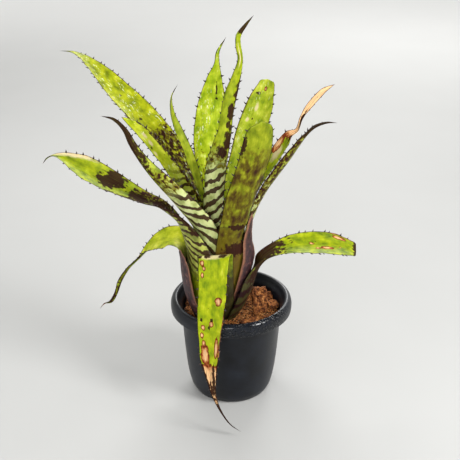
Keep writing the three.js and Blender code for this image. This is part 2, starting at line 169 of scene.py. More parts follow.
def make_piece(name, points, quads, triangles, materials, picks=None, fields=None, weld=False):
    """Puts arrays into a mesh with foreach_set, faces outward, and rides the finished piece on the root body."""
    quads = np.asarray(quads, int).reshape(-1, 4)
    triangles = np.asarray(triangles, int).reshape(-1, 3)
    split = np.concatenate([quads[:, [0, 1, 2]], quads[:, [0, 2, 3]], triangles])
    if signed_volume(points, split) < 0:
        quads, triangles = quads[:, ::-1], triangles[:, ::-1]
    loops = np.concatenate([quads.ravel(), triangles.ravel()])
    sizes = np.concatenate([np.full(len(quads), 4), np.full(len(triangles), 3)])
    mesh = bpy.data.meshes.new(name)
    mesh.vertices.add(len(points))
    mesh.vertices.foreach_set("co", np.asarray(points, np.float32).ravel())
    mesh.loops.add(len(loops))
    mesh.loops.foreach_set("vertex_index", loops.astype(np.int32))
    mesh.polygons.add(len(sizes))
    mesh.polygons.foreach_set("loop_start", (np.cumsum(sizes) - sizes).astype(np.int32))
    if picks is not None:
        mesh.polygons.foreach_set("material_index", np.asarray(picks, np.int32))
    mesh.update(calc_edges=True)
    for key, values in (fields or {}).items():
        attribute = mesh.attributes.new(key, "FLOAT_VECTOR", "POINT")
        attribute.data.foreach_set("vector", np.asarray(values, np.float32).ravel())
    if weld:
        work = bmesh.new()
        work.from_mesh(mesh)
        bmesh.ops.remove_doubles(work, verts=work.verts, dist=1e-6)
        bmesh.ops.recalc_face_normals(work, faces=work.faces)
        work.to_mesh(mesh)
        work.free()
    mesh.polygons.foreach_set("use_smooth", np.ones(len(mesh.polygons), bool))
    mesh.validate()
    piece = bpy.data.objects.new(name, mesh)
    bpy.context.scene.collection.objects.link(piece)
    for material in materials:
        mesh.materials.append(material)
    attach(piece, "root")
    return piece


# ---------------------------------------------------------------- leaves


def frame_corners(node):
    """A frame solid's mesh and its corners, one row each."""
    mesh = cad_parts[node].data
    points = np.zeros(len(mesh.vertices) * 3)
    mesh.vertices.foreach_get("co", points)
    return mesh, points.reshape(-1, 3)


def frame_sections(node):
    """A leaf's sections from its frame solid, foot to tip, as rows of 12 points, and the tip point.

    The corners are merged first. The tip is the corner that most faces share, and each section is the set of
    corners one edge further from it, walked round once. The two sharpest opposite corners are the margins, and the
    half whose foot is nearer the crown's axis is the upper skin, stored as points 0 to 6.
    """
    mesh, points = frame_corners(node)
    mesh.calc_loop_triangles()
    faces = np.zeros(len(mesh.loop_triangles) * 3, int)
    mesh.loop_triangles.foreach_get("vertices", faces)
    keys = np.round(points / 1e-5).astype(int)
    _, first, index = np.unique(keys, axis=0, return_index=True, return_inverse=True)
    points, faces = points[first], index.reshape(-1)[faces].reshape(-1, 3)
    edges = np.concatenate([faces[:, [0, 1]], faces[:, [1, 2]], faces[:, [2, 0]]])
    tip = int(np.bincount(edges[:, 0]).argmax())
    level = np.full(len(points), -1)
    level[tip] = 0
    reached = 0
    while (level < 0).any():
        level[[n for n in np.unique(edges[level[edges[:, 0]] == reached, 1]) if level[n] < 0]] = reached + 1
        reached += 1
    side = faces[level[faces].min(1) != level[faces].max(1)]
    follow = {}
    for a, b, c in ((0, 1, 2), (1, 2, 0), (2, 0, 1)):
        towards_tip = (level[side[:, a]] == level[side[:, b]]) & (level[side[:, c]] < level[side[:, a]])
        follow.update(zip(side[towards_tip, a].tolist(), side[towards_tip, b].tolist()))
    linked = {tuple(e) for e in np.concatenate([edges, edges[:, ::-1]]).tolist()}
    rings = []
    for k in range(1, reached + 1):
        ring = [int(np.nonzero(level == k)[0][0])]
        while len(ring) < SECTION_POINTS:
            ring.append(follow[ring[-1]])
        if rings:
            turns = [np.roll(ring, -s) for s in range(SECTION_POINTS)]
            straight = [t for t in turns if all(pair in linked for pair in zip(rings[-1].tolist(), t.tolist()))]
            gap = [np.linalg.norm(points[t] - points[rings[-1]], axis=1).sum() for t in straight]
            ring = straight[int(np.argmin(gap))]
        rings.append(np.array(ring))
    sections = points[np.array(rings[::-1])]
    into = unit(sections - np.roll(sections, 1, 1))
    away = unit(np.roll(sections, -1, 1) - sections)
    turn = np.arccos(np.clip((into * away).sum(2), -1, 1)).mean(0)
    sections = np.roll(sections, -int((turn[:6] + turn[6:]).argmax()), 1)
    reach = np.linalg.norm(sections[0, :, :2] - CROWN, axis=1)
    if reach[1:6].mean() > reach[7:12].mean():
        sections = np.roll(sections, -6, 1)
    return sections, points[tip]


def mark_fields(marks, across, along, half):
    """Three fields over a leaf, each 0.5 on a mark's outline and 1 at its middle: dry, dark and pale tissue.

    A mark is (kind, place across from -1 to 1, mm from the foot, mm half width, mm half length). A mark of no half
    width is a zone that starts at its place along and reaches to the tip, blurred over its half length. A mark
    across 2 or -2 runs down a margin.
    """
    fields = np.zeros((*np.broadcast(across, along).shape, 3))
    kinds = {"dry": 0, "dark": 1, "pale": 2}
    for kind, place, start, wide, long in marks:
        k = kinds[kind]
        if wide == 0:
            value = np.clip(0.5 + (along - start) / (2 * long), 0, 1) + 0 * across
        elif abs(place) == 2:
            sided = np.where(across * place > 0, half * (1 - np.abs(across)), 1e3)
            value = 1 - 0.5 * np.sqrt((sided / wide) ** 2 + ((along - start) / long) ** 4)
        else:
            value = 1 - 0.5 * np.sqrt(((across - place) * half / wide) ** 2 + ((along - start) / long) ** 2)
        fields[..., k] = np.maximum(fields[..., k], np.clip(value, 0, 1))
    return fields


def leaf_arrays(node, leaf, settings):
    """A leaf's points, faces and fields.

    The surface is a function of v across, from -1 to 1, and s along, in metres from the foot. Cubic curves through
    the frame's section points give both skins. Both then move along the leaf's normal by the same sum: a slow wave,
    a faster wave that grows as v^4 towards the margins, and wrinkles wherever the tissue is dry.
    """
    sections, tip = frame_sections(node)
    sections = np.concatenate([sections, np.broadcast_to(tip, (1, SECTION_POINTS, 3))])
    middle = sections.mean(1)
    knots = np.concatenate([[0], np.cumsum(np.linalg.norm(np.diff(middle, axis=0), axis=1))])
    rows = int(knots[-1] / settings.step)
    s = np.linspace(0, knots[-1], rows + 1)[:-1]
    cells = settings.cells
    v = np.linspace(-1, 1, cells + 1)
    tracks = np.einsum("sk,kpc->spc", spline(knots, s), sections)
    lay = spline(np.linspace(-1, 1, 7), v)
    upper = np.einsum("vp,spc->svc", lay, tracks[:, :7])
    under = np.einsum("vp,spc->svc", lay, tracks[:, [0, 11, 10, 9, 8, 7, 6]])
    centre = (upper + under) / 2
    half = np.linalg.norm(np.diff(centre, axis=1), axis=2).sum(1, keepdims=True) / 2 / MM
    along = (s / MM)[:, None]
    across = v[None, :] * np.ones_like(along)
    edge = half * (1 - np.abs(across))
    marks = mark_fields(leaf["marks"], across, along, half)
    normal = unit(np.cross(np.gradient(centre, axis=0), np.gradient(centre, axis=1)))
    seed = leaf["seed"]
    free = ease(along, leaf["free"], leaf["free"] + 30)
    dryness = ease(marks[..., 0], 0.5, 0.9)
    width = across * half
    wave = 0.3 * ripple(along / 19 + seed, across * 1.2 + 9, seed)
    wave = wave + 0.7 * across**4 * ripple(along / 8 + seed, np.sign(across) * 3.3 + 7, seed + 1)
    wave = wave + dryness * (0.45 * ripple(width / 1.7 + 40, along / 13, seed + 2))
    wave = wave + dryness * (0.8 * ripple(width / 6 + 40, along / 8, seed + 3))
    shift = normal * (wave * free * ease(half, 1.5, 8) * MM)[..., None]
    upper, under = upper + shift, under + shift
    ring = np.concatenate([upper, under[:, -2:0:-1]], axis=1)
    columns = 2 * cells
    points = np.concatenate([ring.reshape(-1, 3), tip[None]])
    quads = grid_faces(rows, columns)
    # the tip is a pole, and the foot is a flat end of quads between two triangles
    cap = fan((rows - 1) * columns, columns, rows * columns)
    k = np.arange(1, cells - 1)
    foot = np.stack([k + 1, k, columns - k, columns - k - 1], -1)
    ends = np.array([[1, 0, columns - 1], [cells, cells - 1, cells + 1]])
    quads = np.concatenate([quads, foot])
    triangles = np.concatenate([cap, ends])

    def over_ring(field):
        """A field over v, laid round the ring so that both skins carry it, with one more value for the tip."""
        ring_field = np.concatenate([field, field[:, -2:0:-1]], axis=1)
        return np.append(ring_field.ravel(), ring_field[-1].mean())

    side = np.concatenate([np.ones((rows, cells + 1)), np.zeros((rows, cells - 1))], axis=1)
    side[:, [0, cells]] = 0.5
    banded = leaf["bands"]
    band = ease(along, banded[0] - 12, banded[0] + 8) * (1 - ease(along, banded[1] - 22, banded[1] + 10)) + 0 * across
    mottled = leaf["mottle"]
    mottle = mottled[2] * ease(along, mottled[0] - 20, mottled[0] + 20)
    mottle = mottle * (1 - ease(along, mottled[1] - 20, mottled[1] + 20)) + 0 * across
    mottle = mottle * ease(across, leaf["mottled_from"] - 0.12, leaf["mottled_from"] + 0.12)
    fields = {
        "blade": np.stack([over_ring(width), over_ring(along + 0 * across), np.append(side.ravel(), 0.5)], -1),
        "marks": np.stack([over_ring(marks[..., i]) for i in range(3)], -1),
        "growth": np.stack([over_ring(edge), over_ring(band), over_ring(mottle)], -1),
    }
    return points, quads, triangles, fields, (centre, half[:, 0], s)


def spine_arrays(centre, half, s, leaf, settings):
    """Spines down both margins: each is a cone of 5 sides and 3 rings whose middle bends towards the leaf's tip.

    A point at height t and angle a sits at out * t + along * 0.55 t^2, plus a circle of radius (1 - t)^0.8.
    """
    heights = np.array([-0.25, 0.3, 0.65])
    angles = np.arange(5) * 2 * math.pi / 5
    t = np.repeat(heights, 5)
    a = np.tile(angles, 3)
    radius = settings.spine_radius * (1 - np.maximum(t, 0)) ** 0.8
    cone = np.stack([t, 0.55 * t * np.abs(t), 0 * t], -1) * settings.spine_length
    cone = cone + np.stack([0 * t, radius * 1.5 * np.cos(a), radius * np.sin(a)], -1)
    cone = np.concatenate([cone, [[settings.spine_length, 0.55 * settings.spine_length, 0]]])
    j = np.arange(5)
    quads = grid_faces(3, 5)
    tip = np.stack([10 + j, 10 + (j + 1) % 5, np.full(5, 15)], -1)
    base = np.array([[0, 2, 1], [0, 3, 2], [0, 4, 3]])
    triangles = np.concatenate([tip, base])
    random = np.random.default_rng(leaf["seed"] + 50)
    length = s[-1]
    places = []
    for margin in (0, -1):
        at = np.arange(leaf["toothed"] * MM, length - 9 * MM, settings.spine_gap)
        at = at + random.uniform(-0.25, 0.25, len(at)) * settings.spine_gap
        row = np.clip(np.searchsorted(s, at), 2, len(s) - 3)
        place = centre[row, margin]
        out = unit(place - centre[row, 3 if margin == 0 else -4])
        ahead = unit(centre[row + 2, margin] - centre[row - 2, margin])
        ahead = unit(ahead - out * (ahead * out).sum(1, keepdims=True))
        third = np.cross(out, ahead)
        size = ease(half[row], 1.0, 6.0) * random.uniform(0.7, 1.15, len(at))
        places.append((place, out, ahead, third, size))
    place, out, ahead, third, size = (np.concatenate(part) for part in zip(*places))
    basis = np.stack([out, ahead, third], 1) * size[:, None, None]
    points = place[:, None] + np.einsum("pk,nkc->npc", cone, basis)
    offset = np.arange(len(place))[:, None, None] * len(cone)
    return points.reshape(-1, 3), (quads + offset).reshape(-1, 4), (triangles + offset).reshape(-1, 3)


def leaf_grain(tree, blade, size, detail, seed):
    """A soft random pattern on a leaf, whose patches are so many mm across it and along it."""
    x = add(tree, "Math", {0: blade[0], 1: 1 / size[0]}, operation="MULTIPLY")
    y = add(tree, "Math", {0: blade[1], 1: 1 / size[1]}, operation="MULTIPLY")
    place = add(tree, "CombineXYZ", {0: x, 1: y, 2: seed})
    return add(tree, "TexNoise", {"Vector": place, "Scale": 1.0, "Detail": detail, "Roughness": 0.55})


def leaf_green(tree, leaf, blade, cloud, streak):
    """The plain skin: the upper side bright and clear, the under side duller, both with fine lines along the leaf."""
    upper = add(tree, "ValToRGB", {0: cloud}, stops=list(zip((0.3, 0.45, 0.6, 0.74), leaf["upper"])))
    under = add(tree, "ValToRGB", {0: cloud}, stops=list(zip((0.36, 0.5, 0.64), leaf["under"])))
    green = add(tree, "Mix", {0: blade[2], 6: under, 7: upper}, out=2, data_type="RGBA")
    lined = add(tree, "MapRange", {0: streak, 1: 0.3, 2: 0.7, 3: 0.88, 4: 1.08})
    lined = add(tree, "CombineXYZ", {0: lined, 1: lined, 2: lined})
    return add(tree, "Mix", {0: 1.0, 6: green, 7: lined}, out=2, data_type="RGBA", blend_type="MULTIPLY")


def leaf_bands(tree, leaf, blade, share, ragged, seed):
    """How strong the dark cross bands are: a sine of the place along, which sags, leans, wanders and breaks up."""
    warp = add(tree, "Math", {0: leaf_grain(tree, blade, (11, 17), 2.0, seed + 11), 1: 12.0}, operation="MULTIPLY")
    bow = add(tree, "Math", {0: blade[0], 1: blade[0]}, operation="MULTIPLY")
    bow = add(tree, "Math", {0: bow, 1: -leaf["bow"], 2: warp}, operation="MULTIPLY_ADD")
    lean = add(tree, "Math", {0: blade[0], 1: leaf["lean"], 2: bow}, operation="MULTIPLY_ADD")
    phase = add(tree, "Math", {0: blade[1], 1: lean}, operation="ADD")
    phase = add(tree, "Math", {0: phase, 1: 2 * math.pi / leaf["pitch"]}, operation="MULTIPLY")
    wave = add(tree, "Math", {0: phase}, operation="SINE")
    wave = add(tree, "Math", {0: ragged, 1: 2.2, 2: wave}, operation="MULTIPLY_ADD")
    band = add(tree, "MapRange", {0: wave, 1: 1.16, 2: 1.42}, interpolation_type="SMOOTHSTEP")
    band = add(tree, "Math", {0: band, 1: share}, operation="MULTIPLY")
    return add(tree, "Math", {0: band, 1: leaf["band_strength"]}, operation="MULTIPLY")


def leaf_living(tree, leaf, blade, growth, grains, settings):
    """The living tissue's colour: plain green, then bands on a paler ground, then the sheath's shade, then mottling."""
    cloud, streak, ragged = grains
    seed = float(leaf["seed"])
    tone = leaf_green(tree, leaf, blade, cloud, streak)
    wash = add(tree, "MapRange", {0: cloud, 1: 0.36, 2: 0.58, 3: 0.35, 4: 1.0})
    wash = add(tree, "Math", {0: growth[1], 1: wash}, operation="MULTIPLY")
    wash = add(tree, "Math", {0: wash, 1: leaf["wash"]}, operation="MULTIPLY")
    tone = add(tree, "Mix", {0: wash, 6: tone, 7: linear(leaf["between"])}, out=2, data_type="RGBA")
    band = leaf_bands(tree, leaf, blade, growth[1], ragged, seed)
    tone = add(tree, "Mix", {0: band, 6: tone, 7: settings.band_colour}, out=2, data_type="RGBA")
    # the sheath is darker where light never reached it
    hidden, depth, share = leaf["sheath"]
    shade = add(tree, "Math", {0: ragged, 1: 26.0, 2: blade[1]}, operation="MULTIPLY_ADD")
    shade = add(tree, "MapRange", {0: shade, 1: depth, 2: depth + 22, 3: share, 4: 0.0})
    tone = add(tree, "Mix", {0: shade, 6: tone, 7: linear(hidden)}, out=2, data_type="RGBA")
    # mottling, olive at its edge and dark brown in its middle, crisp or smoky
    blur = 0.07 * leaf["soft"]
    smoke = leaf_grain(tree, blade, leaf["patches"], 4.0, seed + 17)
    smoke = add(tree, "Math", {0: smoke, 1: growth[2]}, operation="MULTIPLY")
    olive = add(tree, "MapRange", {0: smoke, 1: 0.4 - blur, 2: 0.5 + blur}, interpolation_type="SMOOTHSTEP")
    brown = add(tree, "MapRange", {0: smoke, 1: 0.5 - blur, 2: 0.56 + 2 * blur}, interpolation_type="SMOOTHSTEP")
    tone = add(tree, "Mix", {0: olive, 6: tone, 7: settings.olive_colour}, out=2, data_type="RGBA")
    return add(tree, "Mix", {0: brown, 6: tone, 7: settings.band_colour}, out=2, data_type="RGBA")


def leaf_decay(tree, tone, marks, grains, settings):
    """Lays bleached, dry and dying tissue over a leaf's colour, and returns it with the dry and the dying share."""
    _, streak, ragged = grains
    pale = add(tree, "Math", {0: ragged, 1: 0.5, 2: marks[2]}, operation="MULTIPLY_ADD")
    pale = add(tree, "MapRange", {0: pale, 1: 0.62, 2: 1.0, 3: 0.0, 4: 0.86}, interpolation_type="SMOOTHSTEP")
    tone = add(tree, "Mix", {0: pale, 6: tone, 7: settings.pale_colour}, out=2, data_type="RGBA")
    # dry tissue: a red-brown rim that keeps the rot in, and papery tan inside it
    torn = add(tree, "MapRange", {0: ragged, 3: -0.2, 4: 0.56})
    dry = add(tree, "Math", {0: torn, 1: marks[0]}, operation="ADD")
    tans = [(0.0, "#5E1E0C"), (0.7, "#6E2A10"), (0.77, "#9A4E24"), (0.85, "#CF945C"), (1.0, "#EBBC88")]
    paper = add(tree, "ValToRGB", {0: dry}, stops=tans)
    fibre = add(tree, "MapRange", {0: streak, 1: 0.36, 2: 0.56, 3: 0.3, 4: 1.1})
    fibre = add(tree, "CombineXYZ", {0: fibre, 1: fibre, 2: fibre})
    paper = add(tree, "Mix", {0: 0.9, 6: paper, 7: fibre}, out=2, data_type="RGBA", blend_type="MULTIPLY")
    dry = add(tree, "MapRange", {0: dry, 1: 0.6, 2: 0.64})
    tone = add(tree, "Mix", {0: dry, 6: tone, 7: paper}, out=2, data_type="RGBA")
    # dark dying tissue, blotched and ragged, with a little of what is under it showing in streaks
    dark = add(tree, "Math", {0: ragged, 1: 1.3, 2: marks[1]}, operation="MULTIPLY_ADD")
    dark = add(tree, "MapRange", {0: dark, 1: 1.06, 2: 1.24}, interpolation_type="SMOOTHSTEP")
    thick = add(tree, "MapRange", {0: streak, 1: 0.35, 2: 0.6, 3: 0.92, 4: 1.0})
    dark = add(tree, "Math", {0: dark, 1: thick}, operation="MULTIPLY")
    tone = add(tree, "Mix", {0: dark, 6: tone, 7: settings.dark_colour}, out=2, data_type="RGBA")
    return tone, dry, dark


def leaf_water_and_glint(tree, leaf, blade, seed):
    """Water left on the upper skin: the share of round beads about 2 mm wide, and the share of painted highlight, pale
    streaks that stand in for light caught where the skin is damp.
    """
    flat = add(tree, "CombineXYZ", {0: blade[0], 1: blade[1], 2: seed})
    bead = add(tree, "TexVoronoi", {"Vector": flat, "Scale": 0.42}, out="Distance", feature="F1")
    bead = add(tree, "MapRange", {0: bead, 1: 0.42, 2: 0.05}, interpolation_type="SMOOTHSTEP")
    damp = leaf_grain(tree, blade, (9, 30), 2.0, seed + 23)
    damp = add(tree, "MapRange", {0: damp, 1: 0.5, 2: 0.56, 3: 0.0, 4: leaf["wet"]})
    damp = add(tree, "Math", {0: damp, 1: blade[2]}, operation="MULTIPLY")
    bead = add(tree, "Math", {0: bead, 1: damp}, operation="MULTIPLY")
    # painted highlight: pale streaks where the skin is damp, standing in for light caught on water
    painted_glint = leaf_grain(tree, blade, (1.6, 5.5), 3.0, seed + 29)
    painted_glint = add(tree, "MapRange", {0: painted_glint, 1: 0.56, 2: 0.64}, interpolation_type="SMOOTHSTEP")
    painted_glint = add(tree, "Math", {0: painted_glint, 1: damp}, operation="MULTIPLY")
    painted_glint = add(tree, "Math", {0: painted_glint, 1: 0.75}, operation="MULTIPLY")
    return bead, painted_glint


def leaf_material(name, leaf, settings):
    """Living bromeliad leaf: tough green tissue under a waxy cuticle, with dead patches that dry out."""
    material, tree = new_material(name)
    seed = float(leaf["seed"])
    fields = []
    for key in ("blade", "marks", "growth"):
        stored = add(tree, "Attribute", attribute_name=key, out="Vector")
        fields.append(add(tree, "SeparateXYZ", {0: stored}, out=None).outputs)
    blade, marks, growth = fields
    cloud = leaf_grain(tree, blade, (8, 12), 4.0, seed)
    streak = leaf_grain(tree, blade, (0.9, 34), 3.0, seed + 3)
    ragged = leaf_grain(tree, blade, (3.2, 5.5), 4.0, seed + 7)
    grains = (cloud, streak, ragged)
    tone = leaf_living(tree, leaf, blade, growth, grains, settings)
    tone, dry, dark = leaf_decay(tree, tone, marks, grains, settings)
    # specks about a millimetre wide, a few to each leaf
    speck = add(tree, "CombineXYZ", {0: blade[0], 1: blade[1], 2: seed + 5.0})
    speck = add(tree, "TexVoronoi", {"Vector": speck, "Scale": 0.085}, out="Distance", feature="F1")
    speck = add(tree, "MapRange", {0: speck, 1: 0.035, 2: 0.06, 3: 0.85, 4: 0.0})
    tone = add(tree, "Mix", {0: speck, 6: tone, 7: settings.dark_colour}, out=2, data_type="RGBA")
    # a thin horny line runs along the margins
    line = add(tree, "Math", {0: ragged, 1: 0.9, 2: growth[0]}, operation="MULTIPLY_ADD")
    line = add(tree, "MapRange", {0: line, 1: 0.85, 2: 1.15, 3: 0.9, 4: 0.0})
    tone = add(tree, "Mix", {0: line, 6: tone, 7: settings.spine_colour}, out=2, data_type="RGBA")
    bead, painted_glint = leaf_water_and_glint(tree, leaf, blade, seed)
    # painted highlight: the pale streaks that stand in for light caught on wet skin go into the colour itself
    tone = add(tree, "Mix", {0: painted_glint, 6: tone, 7: settings.painted_glint_colour}, out=2, data_type="RGBA")
    # dead tissue has lost its wax, so it is rougher
    rough = add(tree, "MapRange", {0: streak, 1: 0.3, 2: 0.7, 3: 0.33, 4: 0.5})
    rough = add(tree, "Math", {0: dry, 1: 0.4, 2: rough}, operation="MULTIPLY_ADD")
    rough = add(tree, "Math", {0: dark, 1: 0.35, 2: rough}, operation="MULTIPLY_ADD")
    relief = add(tree, "Bump", {"Height": streak, "Distance": 0.00035, "Strength": 0.55})
    relief = add(tree, "Bump", {"Height": ragged, "Distance": 0.0009, "Strength": 0.3, "Normal": relief})
    relief = add(tree, "Bump", {"Height": bead, "Distance": 0.0008, "Strength": 0.8, "Normal": relief})
    shader = add(
        tree,
        "BsdfPrincipled",
        {
            "Base Color": tone,
            "Roughness": rough,
            "IOR": 1.45,
            "Specular IOR Level": 0.15,
            "Coat Weight": bead,
            "Coat Roughness": 0.08,
            "Subsurface Weight": 0.08,
            "Subsurface Scale": 0.001,
            "Normal": relief,
        },
    )
    add(tree, "OutputMaterial", {0: shader})
    return material


def spine_material():
    """Horn-like hardened plant fibre, dark brown to black and slightly glossy."""
    material, tree = new_material("leaf_spine_horn")
    place = add(tree, "TexCoord", out="Object")
    grain = add(tree, "TexNoise", {"Vector": place, "Scale": 900.0, "Detail": 2.0})
    tone = add(tree, "ValToRGB", {0: grain}, stops=[(0.35, "#120B09"), (0.7, "#3A2018")])
    shader = add(tree, "BsdfPrincipled", {"Base Color": tone, "Roughness": 0.45})
    add(tree, "OutputMaterial", {0: shader})
    return material


# leaf tones from shade to light: four for an upper skin, three for an under skin
LIME = ("#5C7206", "#87980A", "#A8B40F", "#CDD13E")
FRESH = ("#4C6E08", "#6C8C0C", "#8CA812", "#AEBE2C")
OLIVE = ("#4A540A", "#727C0C", "#969E16", "#B4BA30")
LIME_UNDER = ("#627408", "#8E9C10", "#AEB828")
GREEN_UNDER = ("#54640A", "#7A8A12", "#9AA624")


def look(seed, upper=LIME, under=GREEN_UNDER, bands=(0, 1), mottle=(0, 1, 0.0), marks=(), toothed=95, free=95, **more):
    """One leaf's own finish. Lengths along the leaf are in mm from its foot.

    bands: where the cross bands start and end. mottle: the same for the mottling, and its strength. toothed: where
    the spines start. free: where the blade leaves the sheath and may wave. band_strength and wash: how strong the
    bands and the pale ground between them are. between: that ground's colour. pitch: mm from band to band. bow and
    lean: how far a band sags, and how steeply it runs. mottled_from: the place across, from -1 to 1, where the
    mottling starts. soft: how blurred its edges are. patches: its size across and along. wet: how wet the upper
    skin is, which sets both its water beads and its painted highlight streaks. sheath: the hidden part's colour,
    how far up it reaches, and its share.
    """
    chosen = {
        "seed": seed, "upper": upper, "under": under, "bands": bands, "mottle": mottle, "marks": list(marks),
        "toothed": toothed, "free": free, "band_strength": 0.96, "wash": 0.5, "between": "#C6CC96",
        "pitch": 12.0, "bow": 0.008, "lean": 0.0, "mottled_from": -2.0, "soft": 0.0, "patches": (3.4, 5.0),
        "wet": 0.0, "sheath": ("#33211F", 40, 0.0),
    }  # fmt: skip
    chosen.update(more)
    return chosen


